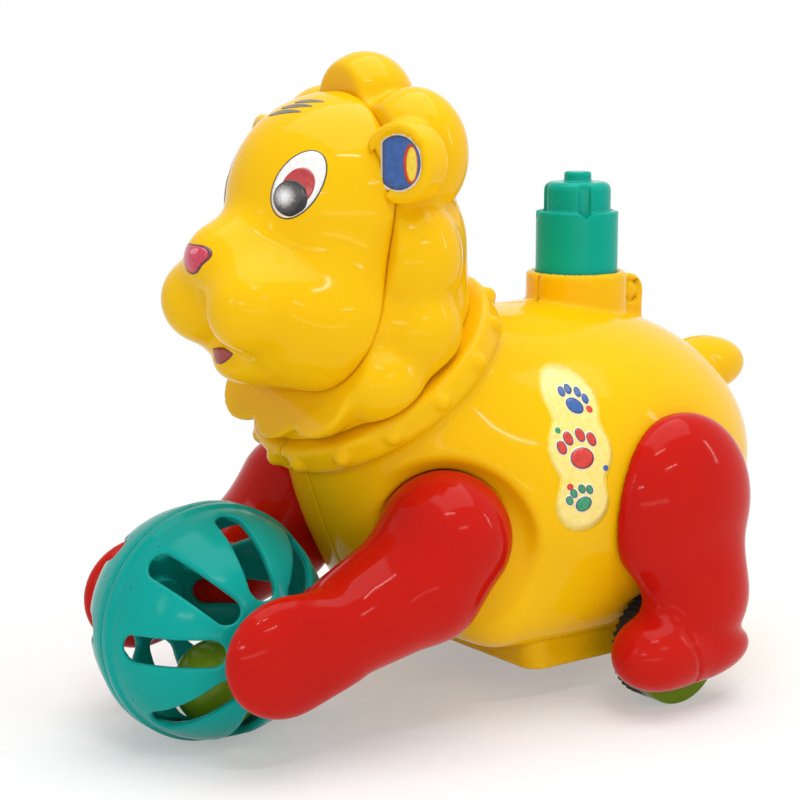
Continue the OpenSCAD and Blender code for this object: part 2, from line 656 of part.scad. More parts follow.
// Gears: involute flanks, tooth at the phase angle
addendum = 0.85;
dedendum = 1.15;
backlash = 0.2;
deg = 180 / PI;
function inv(a) = tan(a) * deg - a;
function flank_half(n, m, r) =
  let (rp = n * m / 2, rb = rp * cos(press_angle), q = max(r, rb))
  90 / n - backlash * m / (2 * rp) * deg + inv(press_angle) - inv(acos(clamp(rb / q, -1, 1)));
function gear_points(n, m, phase) =
  let (rp = n * m / 2, rf = rp - dedendum * m, ra = rp + addendum * m,
       rs = [for (t = [0, 0.25, 0.5, 0.75, 1]) mix(max(rf, rp * cos(press_angle)), ra, t)],
       half = concat([[rf, -flank_half(n, m, rs[0])]], [for (r = rs) [r, -flank_half(n, m, r)]]),
       tooth = concat(half, [for (i = [len(half) - 1 : -1 : 0]) [half[i][0], -half[i][1]]]))
  [for (k = [0 : n - 1], t = tooth) let (a = phase + k * 360 / n + t[1]) t[0] * [cos(a), sin(a)]];

// Gear places: the rack turns the drive gear, whose rim turns the swing gear;
// the swing gear hangs just clear of the axle gear until a press swings it in
pitch_x = knob_x + stem_t / 2 + 1;
pinion_r = pinion_n * rack_m / 2;
drive_x = pitch_x + pinion_r;
mesh_far = (drive_n + small_n) * fine_m / 2;
swing_clear = 1.4;
mesh_near = (swing_n + small_n) * fine_m / 2 + swing_clear;
drop = [rear_x - drive_x, wheel_r - drive_z];
drop_len = norm(drop);
swing_along = (mesh_far * mesh_far - mesh_near * mesh_near + drop_len * drop_len) / (2 * drop_len);
swing_off = sqrt(mesh_far * mesh_far - swing_along * swing_along);
swing_p = [drive_x, drive_z] + unit(drop) * swing_along + [-drop.y, drop.x] / drop_len * swing_off;
mesh_dir = atan2(swing_p.y - drive_z, swing_p.x - drive_x);
stem_half = stem_w / 2;
pinion_y = [-stem_half - 0.5, stem_half + 2];
rim_y = [pinion_y[1], pinion_y[1] + 3];
small_y = [rim_y[0] - 0.2, rim_y[1] + 0.3];
wheel_y = [small_y[1] + 1, small_y[1] + 4];
axle_gear_y = [wheel_y[0] - 0.2, wheel_y[1] + 0.2];
plate_left = axle_gear_y[1] + 2;
plate_right = -stem_half - 2.5;
shaft_r = 1.5;
pivot_r = 1;
end_gap = 0.3;
module drive_gear() color(nylon) difference() {
  union() {
    along_y(drive_x, drive_z, pinion_y[0], pinion_y[1]) polygon(gear_points(pinion_n, rack_m, 180));
    along_y(drive_x, drive_z, rim_y[0], rim_y[1]) polygon(gear_points(drive_n, fine_m, mesh_dir));
    pin_y(drive_x, drive_z, plate_right + end_gap, plate_left - end_gap, shaft_r + 1.1);
  }
  pin_y(drive_x, drive_z, plate_right, plate_left, shaft_r + run_gap);
}
module swing_gear() color(nylon) difference() {
  union() {
    along_y(swing_p.x, swing_p.y, small_y[0], small_y[1])
      polygon(gear_points(small_n, fine_m, mesh_dir + 180 + 180 / small_n));
    along_y(swing_p.x, swing_p.y, wheel_y[0], wheel_y[1]) polygon(gear_points(swing_n, fine_m, 0));
    pin_y(swing_p.x, swing_p.y, small_y[0], plate_left - end_gap, pivot_r + 0.6);
  }
  pin_y(swing_p.x, swing_p.y, plate_right, plate_left, pivot_r + run_gap);
}
module axle_gear() color(nylon) difference() {
  along_y(rear_x, wheel_r, axle_gear_y[0], axle_gear_y[1]) polygon(gear_points(small_n, fine_m, 0));
  pin_y(rear_x, wheel_r, axle_gear_y[0] - 1, axle_gear_y[1] + 1, axle_r);
}
module drive_shaft() color(steel)
  pin_y(drive_x, drive_z, plate_right - plate_t, plate_left + plate_t, shaft_r);
module swing_shaft() color(steel)
  pin_y(swing_p.x, swing_p.y, plate_right - plate_t, plate_left + plate_t, pivot_r);

// Gearbox frame: two plates on pillars, a guide for the stem and the tray
floor_top = tray_z + tray_floor;
plate_half = 17;
pillar_spots = [[rear_x + 13.4, 47.4], [rear_x + 14, 14], [rear_x - 14.4, 47.4], [rear_x - 14.4, 14]];
pillar_r = 2.2;
case_screw_r = 1.2;
module plate(y0, y1) difference() {
  block(rear_x - plate_half, rear_x + plate_half, y0, y1, floor_top, plate_top);
  pin_y(rear_x, wheel_r, y0 - 1, y1 + 1, axle_r + part_gap);
  pin_y(drive_x, drive_z, y0 - 1, y1 + 1, shaft_r);
  pin_y(swing_p.x, swing_p.y, y0 - 1, y1 + 1, pivot_r);
  for (s = pillar_spots) pin_y(s.x, s.y, y0 - 1, y1 + 1, case_screw_r);
}
module gearbox_left_plate() color(nylon) plate(plate_left, plate_left + plate_t);
module gearbox_right_plate() color(nylon) {
  plate(plate_right - plate_t, plate_right);
  for (s = pillar_spots) difference() {
    pin_y(s.x, s.y, plate_right, plate_left, pillar_r);
    pin_y(s.x, s.y, plate_right - 1, plate_left + 1, case_screw_r);
  }
}
module gearbox_screws() color(steel) for (s = pillar_spots)
  screw_y(s.x, s.y, plate_left + plate_t, plate_right - plate_t, case_screw_r);
guide_t = 3.4;
tooth_out = rack_m * (1 + addendum);
module rack_guide() color(nylon) difference() {
  block(knob_x - stem_t / 2 - 2, pitch_x + 3.5, plate_right, plate_left, plate_top - guide_t, plate_top);
  block(knob_x - stem_t / 2 - part_gap, knob_x + stem_t / 2 + tooth_out + part_gap,
    -stem_half - part_gap, stem_half + part_gap, 0, plate_top + 1);
}
hub_half = 1.9;
module gearbox_tray() color(yellow) difference() {
  union() {
    difference() {
      rounded_block(tray_x0, tray_x1, -tray_y, tray_y, tray_z, tray_top, tray_r);
      rounded_block(tray_x0 + tray_wall, tray_x1 - tray_wall, -tray_y + tray_wall, tray_y - tray_wall,
        floor_top, tray_top + 1, tray_r - tray_wall);
    }
    for (x = bracket_xs, s = [-1, 1]) pin_z(x, s * (tray_y - post_in), tray_z, tray_top, boss_r + 0.8);
    for (y = (tray_y + hub_half) * [-1, 1]) pin_y(rear_x, wheel_r, y - hub_half, y + hub_half, axle_r + 1.6);
  }
  pin_y(rear_x, wheel_r, -tray_w, tray_w, axle_r + run_gap);
  for (x = bracket_xs, s = [-1, 1]) {
    pin_z(x, s * (tray_y - post_in), tray_z - 1, tray_top + 1, screw_r + hole_gap);
    pin_z(x, s * (tray_y - post_in), tray_z - 1, tray_top - 6, 2 * screw_r + hole_gap);
  }
}
// Screws that close the body, hold the tray and hold the legs
module body_screws() color(steel) {
  for (s = boss_spots) screw_y(s.x, s.y, -screw_head_y, 12, screw_r);
  screw_y(tab_x, tab_z, -tab_y, tab_y - 1.4, screw_r);
  for (x = bracket_xs, s = [-1, 1]) {
    pin_z(x, s * (tray_y - post_in), tray_top - 6, tray_top + bracket_h - 2, screw_r);
    pin_z(x, s * (tray_y - post_in), tray_top - 6 - screw_r, tray_top - 6, 2 * screw_r);
  }
}
module leg_screws() color(steel) for (s = [-1, 1]) {
  screw_y(thigh_screw.x, thigh_screw.y, s * (flank(thigh_screw.x, thigh_screw.y) - shell_wall - 0.3),
    s * (leg_y + 2), screw_r);
  screw_y(arm_screw.x, arm_screw.y, s * arm_head_y, s * (shoulder_y + 2), screw_r);
}

// Plunger: a petalled knob on a toothed stem, with its return spring
tier_r = knob_r - 2;
tier_top = knob_top - 3.2;
petal_top = knob_top - 10;
notch_angle = 62;
knob_low = collar_low - 4.4;
flange_r = collar_bore + 1.2;
cap_low = collar_top + 8;
knob_hollow = knob_r - 2;
stem_low = tray_top;
stem_high = cap_low + 5;
module plunger_knob() color(teal) difference() {
  rotate_at(knob_x) polygon([[0, knob_low], [flange_r, knob_low], [flange_r, collar_low - part_gap - 0.2],
    [knob_r, collar_low - part_gap - 0.2], [knob_r, petal_top], [tier_r, petal_top], [tier_r, tier_top - 1],
    [tier_r - 1, tier_top + 0.4], [3.5, knob_top - 1.4], [3.5, knob_top], [0, knob_top]]);
  pin_z(knob_x, 0, knob_low - 1, cap_low, knob_hollow);
  block(knob_x - stem_t / 2, knob_x + stem_t / 2, -stem_half, stem_half, cap_low - 1, stem_high + 0.2);
  for (k = [0 : 3]) translate([knob_x, 0, 0]) rotate([0, 0, notch_angle + k * 90]) {
    translate([tier_r, 0, petal_top + 1]) rotate([45, 0, 0]) block(0, 6, -2.2, 2.2, -2.2, 2.2);
    block(tier_r - 0.9, tier_r + 3, -1.4, 1.4, petal_top, knob_top);
  }
}
module rotate_at(x) translate([x, 0, 0]) rotate_extrude($fn = 72) children();
rack_pitch = PI * rack_m;
rack_teeth = ceil((travel + 5) / rack_pitch) + 1;
rack_back = pitch_x - dedendum * rack_m;
module plunger_rack() color(nylon) {
  block(knob_x - stem_t / 2, rack_back + 0.15, -stem_half, stem_half, stem_low, stem_high);
  translate([0, stem_half, 0]) rotate([90, 0, 0]) linear_extrude(stem_w) for (k = [-1 : rack_teeth - 2])
    translate([pitch_x, drive_z + (k + 0.5) * rack_pitch]) polygon(rack_tooth());
}
function rack_tooth() =
  let (h = rack_pitch / 4 - backlash * rack_m / 2, s = tan(press_angle))
  let (lo = -dedendum * rack_m, hi = addendum * rack_m)
  [[lo, -h + lo * s], [hi, -h + hi * s], [hi, h - hi * s], [lo, h - lo * s]];
coil_r = (spring_d - spring_wire) / 2;
coil_rings = 8;
coil_sides = 6;
coil_low = floor_top + spring_wire / 2 + 0.05;
coil_high = stem_low - spring_wire / 2 - 0.05;
function coil_at(t) =
  [knob_x + coil_r * cos(360 * t), coil_r * sin(360 * t), mix(coil_low, coil_high, t / spring_n)];
module return_spring() color(steel) {
  n = spring_n * coil_rings;
  pts = [for (i = [0 : n], j = [0 : coil_sides - 1]) let (t = i / coil_rings, a = j * 360 / coil_sides)
    coil_at(t) + spring_wire / 2 * (cos(a) * [cos(360 * t), sin(360 * t), 0] + sin(a) * [0, 0, 1])];
  faces = concat(
    [for (i = [0 : n - 1], j = [0 : coil_sides - 1], h = [0, 1])
      let (k = (j + 1) % coil_sides, a = i * coil_sides + j, b = i * coil_sides + k)
      h == 0 ? [a, b, b + coil_sides] : [a, b + coil_sides, a + coil_sides]],
    [[for (j = [coil_sides - 1 : -1 : 0]) j], [for (j = [0 : coil_sides - 1]) n * coil_sides + j]]);
  pitches = [for (t = [0 : 1 / coil_rings : spring_n - 1]) norm(coil_at(t + 1) - coil_at(t))];
  echo(least_gap = min(pitches) - spring_wire);
  polyhedron(pts, faces, convexity = 10);
}

// Printed stickers: thin patches that follow the skin
patch_t = 0.35;
function oval(a) = 1;
function plaque(a) = 1 / pow(pow(abs(cos(a)), 3.2) + pow(abs(sin(a)), 3.2), 1 / 3.2);
function shield(a) = 0.87 + 0.13 * cos(3 * a - 90);
module patch(field, c, w, up, su, sv, outline, rings = 2, sides = 20) {
  v = unit(up - (up * w) * w);
  u = cross(v, w);
  n = rings + 1;
  q = [for (i = [0 : rings], k = [0 : sides - 1]) if (i > 0 || k == 0)
    let (a = k * 360 / sides) c + i / rings * outline(a) * (su * cos(a) * u + sv * sin(a) * v)];
  far = [for (p = q) reach(field, p, w, 30)];
  top = [for (k = [0 : len(q) - 1]) q[k] + (far[k] + patch_t) * w];
  low = [for (k = [0 : len(q) - 1]) q[k] + (far[k] - patch_t) * w];
  polyhedron(concat(top, low), concat(cup_faces(n, sides, 0, true),
    cup_faces(n, sides, len(q), false), lip_faces(n, sides, len(q), true)), convexity = 4);
}
eye_c = skull_c + [21.3, 15, 7];
eye_w = unit([0.78, 0.58, 0.26]);
eye_up = unit([-0.545, 0.22, 0.81]);
module eye_sticker() patch(face_field, eye_c - 8 * eye_w, eye_w, eye_up, 5.4, 8.6, function (a) oval(a));
module eye_sticker_left() color("white") eye_sticker();
module eye_sticker_right() color("white") mirror(side) eye_sticker();
film_sink = 0.05;
module ear_lining() difference() {
  along_ear() pin_z(0, 0, -ear_dish - film_sink, -ear_dish + patch_t, ear_dish_r - part_gap);
  translate([0, part_gap, 0]) beside_face();
}
module ear_lining_left() color([0.12, 0.32, 0.63]) ear_lining();
module ear_lining_right() color([0.12, 0.32, 0.63]) mirror(side) ear_lining();
label_p = [body_c.x + 21.4, 0, body_c.z + 11.5];
label_half = [8.2, 19.5];
module side_label()
  patch(body_field, label_p, side, [-0.04, 0, 1], label_half.x, label_half.y, function (a) plaque(a), 4, 24);
module side_label_left() color([0.98, 0.9, 0.5]) side_label();
module side_label_right() color([0.98, 0.9, 0.5]) mirror(side) side_label();
nose_w = unit([0.98, 0, 0.1]);
nose_c = skull_c + [29, 0, -10.8];
nose_half = [4.6, 3.9];
module nose_sticker() color([0.75, 0.12, 0.22])
  patch(face_field, nose_c, nose_w, [0, 0, 1], nose_half.x, nose_half.y, function (a) shield(a));
stripe_w = unit([0.45, 0.12, 0.88]);
stripe_c = skull_c + [5.1, 4.2, 8];
module forehead_stripes() color([0.4, 0.36, 0.3]) for (k = [-1 : 1])
  patch(face_field, stripe_c - k * [3.3, -0.9, 0], stripe_w, [-0.42 - 0.08 * k, 0.9, 0], 0.8, 4.3 - 0.5 * k,
    function (a) oval(a), 1, 12);

body_left_shell();
body_right_shell();
neck_spigot();
mane_shell();
face_shell();
front_leg_left();
front_leg_right();
rear_leg_left();
rear_leg_right();
gearbox_tray();
gearbox_left_plate();
gearbox_right_plate();
rack_guide();
drive_shaft();
swing_shaft();
gearbox_screws();
body_screws();
leg_screws();
plunger_knob();
plunger_rack();
return_spring();
drive_gear();
swing_gear();
rear_axle();
axle_gear();
wheel_hub_left();
wheel_hub_right();
tyre_left();
tyre_right();
ball_left_half();
ball_right_half();
rattle_bead();
eye_sticker_left();
eye_sticker_right();
ear_lining_left();
ear_lining_right();
side_label_left();
side_label_right();
nose_sticker();
forehead_stripes();
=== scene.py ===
"""Looks of the press and go lion: smooth skins over the CAD frame, materials, lights and camera."""

import json
import math

import bpy
import numpy as np
from mathutils import Matrix


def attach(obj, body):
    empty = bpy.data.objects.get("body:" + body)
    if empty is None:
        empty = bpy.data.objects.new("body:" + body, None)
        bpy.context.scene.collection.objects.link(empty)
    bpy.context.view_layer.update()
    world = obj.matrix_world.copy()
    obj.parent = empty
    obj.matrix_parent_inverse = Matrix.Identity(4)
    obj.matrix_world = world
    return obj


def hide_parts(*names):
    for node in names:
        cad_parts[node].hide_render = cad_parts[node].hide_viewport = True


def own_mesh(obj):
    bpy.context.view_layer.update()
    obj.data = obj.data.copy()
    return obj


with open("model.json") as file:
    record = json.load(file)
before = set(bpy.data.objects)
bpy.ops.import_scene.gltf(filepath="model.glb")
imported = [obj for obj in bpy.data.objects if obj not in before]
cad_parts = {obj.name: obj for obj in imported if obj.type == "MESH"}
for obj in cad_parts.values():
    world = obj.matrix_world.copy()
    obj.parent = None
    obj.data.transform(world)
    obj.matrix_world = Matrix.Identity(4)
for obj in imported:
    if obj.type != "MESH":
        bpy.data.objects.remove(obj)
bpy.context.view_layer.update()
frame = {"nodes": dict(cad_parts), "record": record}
nodes = frame["nodes"]

# Places and sizes, in millimetres
MM = 1000
SIDE, UPRIGHT = np.array([0.0, 1.0, 0.0]), np.array([0.0, 0.0, 1.0])
BALL_R, RIDGE_R = 27.5, 28.1
BALL = np.array([71.9, 0.0, 28.1])
REAR_X, WHEEL_R, WHEEL_OUT, WHEEL_GAP = -34.1, 13.4, 47.4, 0.6
BODY = np.array([-26.1, 0.0, 55.0])
EGG = np.array([61.0, 48.0, 41.0])
NECK = np.array([23.5, 0.0, 82.0])
TILT = math.radians(52.6)
NECK_N = np.array([math.cos(TILT), 0.0, math.sin(TILT)])
NECK_B = np.cross(NECK_N, SIDE)
NECK_T, NECK_R = 5.6, 32.8
NECK_FACE = NECK + NECK_N * NECK_T
SKULL = np.array([34.9, 0.0, 123.0])
HEAD = SKULL + [-3.0, 0.0, -10.0]
FACE_TILT = math.radians(10)
FACE_A = np.array([math.cos(FACE_TILT), 0.0, math.sin(FACE_TILT)])
FACE_B = np.cross(FACE_A, SIDE)
FACE_OPEN, FACE_LESS_BELOW = 76, 5
KNOB_X, KNOB_R, KNOB_TOP = -39.7, 10.6, 128.5
COLLAR_R, COLLAR_BORE, COLLAR_TOP, COLLAR_LOW = 13.0, 10.9, 103.0, 86.0
SHOULDER = np.array([26.4, 31.0, 47.5])
ELBOW = SHOULDER + [7.1, 0.0, -8.9]
WRIST = np.array([55.5, 28.7, 29.5])
ARM_R, ELBOW_R, WRIST_R = 15.8, 15.0, 11.8
PAW_IN, PAW_OUT = 26.8, 39.5
TRAY = np.array([[-68.1, -29.0, 9.0], [-2.1, 29.0, 32.0]])
TRAY_CORNER, TRAY_GAP, TRAY_WALL, FLOOR_TOP = 5, 0.3, 1.8, 10.1
SCREW_WELL_R = 2.75


# Distance fields: below 0 inside a form, above 0 outside it
def length(v):
    return np.sqrt(np.einsum("ij,ij->i", v, v))


def egg(p, c, s):
    """Egg with middle c and half sizes s."""
    q = (p - c) / s
    k0, k1 = length(q), length(q / s)
    return k0 * (k0 - 1) / np.maximum(k1, 1e-9)


def limb(p, a, b, ra, rb):
    """Round-ended taper from a to b."""
    ab = b - a
    h = np.clip((p - a) @ ab / (ab @ ab), 0, 1)
    return length(p - a - h[:, None] * ab) - (ra + (rb - ra) * h)


def disc(p, c, n, r, half, edge):
    """Round plate with middle c, axis n and a rounded edge."""
    q = p - c
    h = q @ n
    w = np.sqrt(np.maximum(np.einsum("ij,ij->i", q, q) - h * h, 0))
    a, b = w - (r - edge), np.abs(h) - (half - edge)
    return np.minimum(np.maximum(a, b), 0) + np.hypot(np.maximum(a, 0), np.maximum(b, 0)) - edge


def box(p, lo, hi, edge):
    """Block with rounded edges."""
    lo, hi = np.asarray(lo, float), np.asarray(hi, float)
    q = np.abs(p - (lo + hi) / 2) - ((hi - lo) / 2 - edge)
    return length(np.maximum(q, 0)) + np.minimum(q.max(1), 0) - edge


def slab(p, lo, hi, r, edge):
    """Block with upright corners of one radius and a small edge."""
    lo, hi = np.asarray(lo, float), np.asarray(hi, float)
    q = np.abs(p - (lo + hi) / 2) - (hi - lo) / 2
    flat = q[:, :2] + r
    a = np.hypot(*np.maximum(flat, 0).T) + np.minimum(flat.max(1), 0) - r + edge
    b = q[:, 2] + edge
    return np.minimum(np.maximum(a, b), 0) + np.hypot(np.maximum(a, 0), np.maximum(b, 0)) - edge


def pillar(p, x, y, z0, z1, r, edge):
    """Upright round post."""
    return disc(p, np.array([x, y, (z0 + z1) / 2]), UPRIGHT, r, (z1 - z0) / 2, edge)


def bolt(p, x, z, y0, y1, r, edge=0.3):
    """Round post from side to side."""
    return disc(p, np.array([x, (y0 + y1) / 2, z]), SIDE, r, (y1 - y0) / 2, edge)


def join(a, b, k):
    """Both forms, with a fillet of width k."""
    h = np.maximum(k - np.abs(a - b), 0) / k
    return np.minimum(a, b) - h * h * k / 4


def carve(a, b, k):
    """The first form less the second, with an edge of width k."""
    return -join(-a, b, k)


def fold(p):
    """Points of the right side brought over to the left."""
    return np.column_stack([p[:, 0], np.abs(p[:, 1]), p[:, 2]])


def eggs(p, rows, d=None):
    """Eggs joined in turn, from rows of fillet, middle and half sizes."""
    for k, c, s in rows:
        e = egg(p, np.asarray(c, float), np.asarray(s, float))
        d = e if d is None else join(d, e, k)
    return d


CHEST, CHEST_R, THROAT_R = BODY + [26, 0, -3], 37, 29
BELLY_BACK, BELLY_FRONT = np.array([REAR_X - 12, 25.5, 26.2]), np.array([REAR_X + 40, 25.5, 27.4])
BELLY_R = 9.6
RING, RING_HALF, RING_EDGE = NECK + NECK_N * 1.45, 4.15, 2.2
TAIL, TAIL_SIZE = np.array([-85.0, 0, 74.0]), np.array([15.0, 8, 8])
RECESS_N = np.array([0.5, math.sqrt(0.75), 0.0])
RECESS = SHOULDER + [-1, -2.2, -4.4] + RECESS_N * 10.5
STUD_ANGLES = [27, 51, 75, 99, 123, 147, 171]
STUD_UP, STUD_OUT, STUD_R = 1.4, 32.2, 2.3
TAB_X, TAB_Z, TAB_R = KNOB_X - 15.2, 97, 4.5
GEARBOX_ROOM = [-53, -1, 0], [-15, 21, 57]
WHEEL_WELL_IN = 36.4
BOSSES = [(37.5, 62.0), (-70.1, 51.0), (-12.5, 89.0)]


def body_shape(p):
    """Body, neck ring and tail, without openings."""
    q = fold(p)
    d = egg(q, BODY, EGG)
    d = join(d, limb(q, CHEST, NECK - NECK_N * 2, CHEST_R, THROAT_R), 14)
    d = join(d, limb(q, BELLY_BACK, BELLY_FRONT, BELLY_R, BELLY_R), 12)
    d = join(d, disc(q, RING, NECK_N, NECK_R, RING_HALF, RING_EDGE), 3)
    return join(d, egg(q, TAIL, TAIL_SIZE), 5)


def arm_shape(q):
    return join(limb(q, SHOULDER, ELBOW, ARM_R, ELBOW_R), limb(q, ELBOW, WRIST, ELBOW_R, WRIST_R), 2)


def recess(q):
    """Room for the shoulder in the flank."""
    return np.minimum(arm_shape(q) - 0.2, disc(q, RECESS, RECESS_N, ARM_R + 6.5, 12, 4))


def body_field(p):
    q = fold(p)
    d = body_shape(p)
    d = carve(d, -((q - NECK_FACE) @ NECK_N), 1.6)
    for degrees in STUD_ANGLES:
        t = math.radians(degrees)
        c = NECK + NECK_N * STUD_UP + STUD_OUT * (math.cos(t) * NECK_B + math.sin(t) * SIDE)
        d = join(d, length(q - c) - STUD_R, 0.7)
    d = carve(d, recess(q), 2.4)
    d = join(d, pillar(q, KNOB_X, 0, COLLAR_LOW, COLLAR_TOP, COLLAR_R, 1.2), 1.2)
    tab = join(bolt(q, TAB_X, TAB_Z, -TAB_R, TAB_R, TAB_R, 1),
               box(q, [KNOB_X - 19.6, -TAB_R, 85], [KNOB_X - 11, TAB_R, TAB_Z], 1), 0.5)
    tab = carve(tab, bolt(q, TAB_X, TAB_Z, 3.9, 8, 3.1), 0.4)
    tab = join(tab, bolt(q, TAB_X, TAB_Z, 0, 4.6, 2.2, 0.5), 0.4)
    d = join(d, tab, 1)
    d = carve(d, pillar(q, KNOB_X, 0, 80, 120, COLLAR_BORE, 0.2), 0.8)
    d = carve(d, pillar(q, KNOB_X, 0, 40, 85.9, 13.2, 0.5), 0.3)
    d = carve(d, box(q, *GEARBOX_ROOM, 1), 0.3)
    tray_low, tray_high = TRAY[0] - [TRAY_GAP, TRAY_GAP, 9], TRAY[1] + [TRAY_GAP, TRAY_GAP, 0.05]
    d = carve(d, slab(p, tray_low, tray_high, TRAY_CORNER + TRAY_GAP, 0.2), 0.5)
    d = carve(d, bolt(q, REAR_X, WHEEL_R, WHEEL_WELL_IN, WHEEL_OUT, WHEEL_R + WHEEL_GAP), 0.4)
    right_only = np.where(p[:, 1] < 0, 0.0, 50.0)
    for x, z in BOSSES:
        d = carve(d, bolt(q, x, z, 9, 70, SCREW_WELL_R) + right_only, 0.5)
    return d


# Skull, brow, cheek, nose, muzzle pad, jaw and chin: fillet, middle and half sizes
FACE = [(0, SKULL, (24, 26.5, 27)), (12, SKULL + [12, 0, 0], (14, 12, 18)),
        (10, SKULL + [8.5, 13, -25], (19.5, 15.5, 15.5)), (7, SKULL + [28.5, 0, -10.5], (12, 10.5, 9.5)),
        (6, SKULL + [28.6, 10.4, -20.8], (12.4, 10.4, 11)), (6, SKULL + [12, 6, -31.5], (17, 15, 9.5)),
        (3.5, SKULL + [23.5, 0, -34.6], (10, 9.5, 6))]
# Lobes of the mane: place from the skull and half sizes
LOBES = [((-8, 0, 23.5), (12, 11.5, 12.5)), ((-9, 17.5, 12.5), (13, 13, 15.5)),
         ((-5, 21, -11), (12.5, 13, 15)), ((-5, 22, -27), (12, 12.5, 12.5)),
         ((4, 21.5, -38.5), (12, 11.5, 10)), ((17, 14.5, -42), (11, 11, 9.5)),
         ((20, 0, -43.5), (10.5, 11, 10)), ((11, 0, -38), (14, 24, 9)),
         ((-16, 0, 8), (12, 14, 15)), ((-12, 13, -8), (12, 14, 15)), ((-17, 0, -14), (12, 13, 14))]
MANE_FILLET, MANE_UNDER_FACE = 2.0, 1.0
CREASE_EASE, CREASE_IN = 2.6, 0.1


def face_edge(p):
    """The cone that parts the face, inside it, from the mane."""
    v = p - HEAD
    r = np.maximum(length(v), 1e-6)
    theta = np.arccos(np.clip(v @ FACE_A / r, -1, 1))
    phi = np.arctan2(v @ SIDE, v @ FACE_B)
    return r * (theta - np.radians(FACE_OPEN - FACE_LESS_BELOW * np.maximum(0, -np.cos(phi)) ** 3))


def face_shape(p):
    """Both halves of the face, with the crease between them eased."""
    return eggs(np.column_stack([p[:, 0], np.hypot(p[:, 1], CREASE_EASE) - CREASE_IN, p[:, 2]]), FACE)


def face_field(p):
    return carve(face_shape(p), -face_edge(p), 0.7)


def mane_shape(p):
    """Back of the head, neck and lobes, filled up to just under the face."""
    q = fold(p)
    d = egg(q, SKULL + [-9, 0, -13], np.array([20.0, 27, 34]))
    d = join(d, limb(q, SKULL + [-9, 0, -16], NECK_FACE, 22, NECK_R - 3), 6)
    d = eggs(q, [(MANE_FILLET, SKULL + c, s) for c, s in LOBES], d)
    return join(d, face_shape(p) + MANE_UNDER_FACE, 3.0)


EAR = SKULL + [4.2, 29.0, 11.5]
EAR_TURN = math.radians(20)
EAR_N = np.array([math.cos(EAR_TURN), math.sin(EAR_TURN), 0.0])
EAR_R, EAR_HALF, EAR_EDGE, EAR_CUP_R, EAR_CUP_DEEP = 9.2, 4.25, 1.6, 6.9, 1


def ear_floor(p):
    """Flat floor of the ear's cup, where its print lies."""
    return (fold(p) - EAR) @ EAR_N + EAR_CUP_DEEP


def mane_field(p):
    q = fold(p)
    d = carve(mane_shape(p), face_edge(p) - 0.1, 1.0)
    d = carve(d, (p - NECK_FACE) @ NECK_N - 0.15, 2.0)
    ear = disc(q, EAR - EAR_HALF * EAR_N, EAR_N, EAR_R, EAR_HALF, EAR_EDGE)
    ear = carve(ear, disc(q, EAR + EAR_N, EAR_N, EAR_CUP_R, 1 + EAR_CUP_DEEP, 0.3), 0.4)
    ear = carve(ear, face_shape(p) - 0.5, 0.6)
    return join(d, ear, 1.5)


def arm_field(p):
    paw = BALL + [-0.5, (PAW_IN + PAW_OUT) / 2, -0.7]
    d = join(arm_shape(p), egg(p, paw, np.array([15.6, (PAW_OUT - PAW_IN) / 2, 13.9])), 8)
    d = carve(d, length(p - BALL) - RIDGE_R - 0.8, 1.2)
    from_axis = np.hypot(p[:, 0] - BALL[0], p[:, 2] - BALL[2])
    return np.where(from_axis < BALL_R / 2, np.maximum(d, PAW_IN - p[:, 1]), d)


# Thigh, shin, foot and toes: fillet, middle and half sizes
LEG = [(0, (REAR_X + 0.8, 47, 50.5), (20.8, 12, 22.5)), (7, (REAR_X - 4.5, 48.5, 27.5), (14.4, 10.4, 15.5)),
       (2.5, (REAR_X + 0.6, 49.7, 14), (20, 9.2, 7.8)), (7, (REAR_X + 11, 49.7, 16.3), (9.2, 8.6, 8.3))]
TOE_X, TOE_Z, TOE_SLANT, TOE_HALF, TOE_DEEP, TOE_TOP = REAR_X + 5, 14, 0.3, 0.2, 0.4, 22
THIGH_GAP = 0.7


def leg_field(p):
    """Rear leg with the groove of its toes, cut clear of body and wheel."""
    d = eggs(p, LEG)
    line = np.abs(p[:, 0] - TOE_X - TOE_SLANT * (p[:, 2] - TOE_Z)) - TOE_HALF
    d = carve(d, np.maximum(np.maximum(line, -TOE_DEEP - d), p[:, 2] - TOE_TOP), 1.0)
    d = carve(d, body_shape(p) - THIGH_GAP, 0.6)
    return carve(d, bolt(p, REAR_X, WHEEL_R, 30, WHEEL_OUT + WHEEL_GAP, WHEEL_R + WHEEL_GAP), 0.6)


BALL_WALL, BALL_END, BALL_HALF_GAP, PIN_HOLE_R = 2, 26.2, 0.06, 3.05
RIDGE_HALF, RIDGE_EDGE, RIDGE_WALL = 2.8, 0.6, 1.5
BALL_BOSS, BALL_BOSS_R, BALL_BOSS_HALF = np.array([0, 23.4, 0.0]), 5.4, 2.8
SLOT_TURN, SLOT_LAT = math.pi / 4, math.radians(41)
SLOT_HALF, SLOT_R, SLOT_FROM = 8.8, 3.2, 15


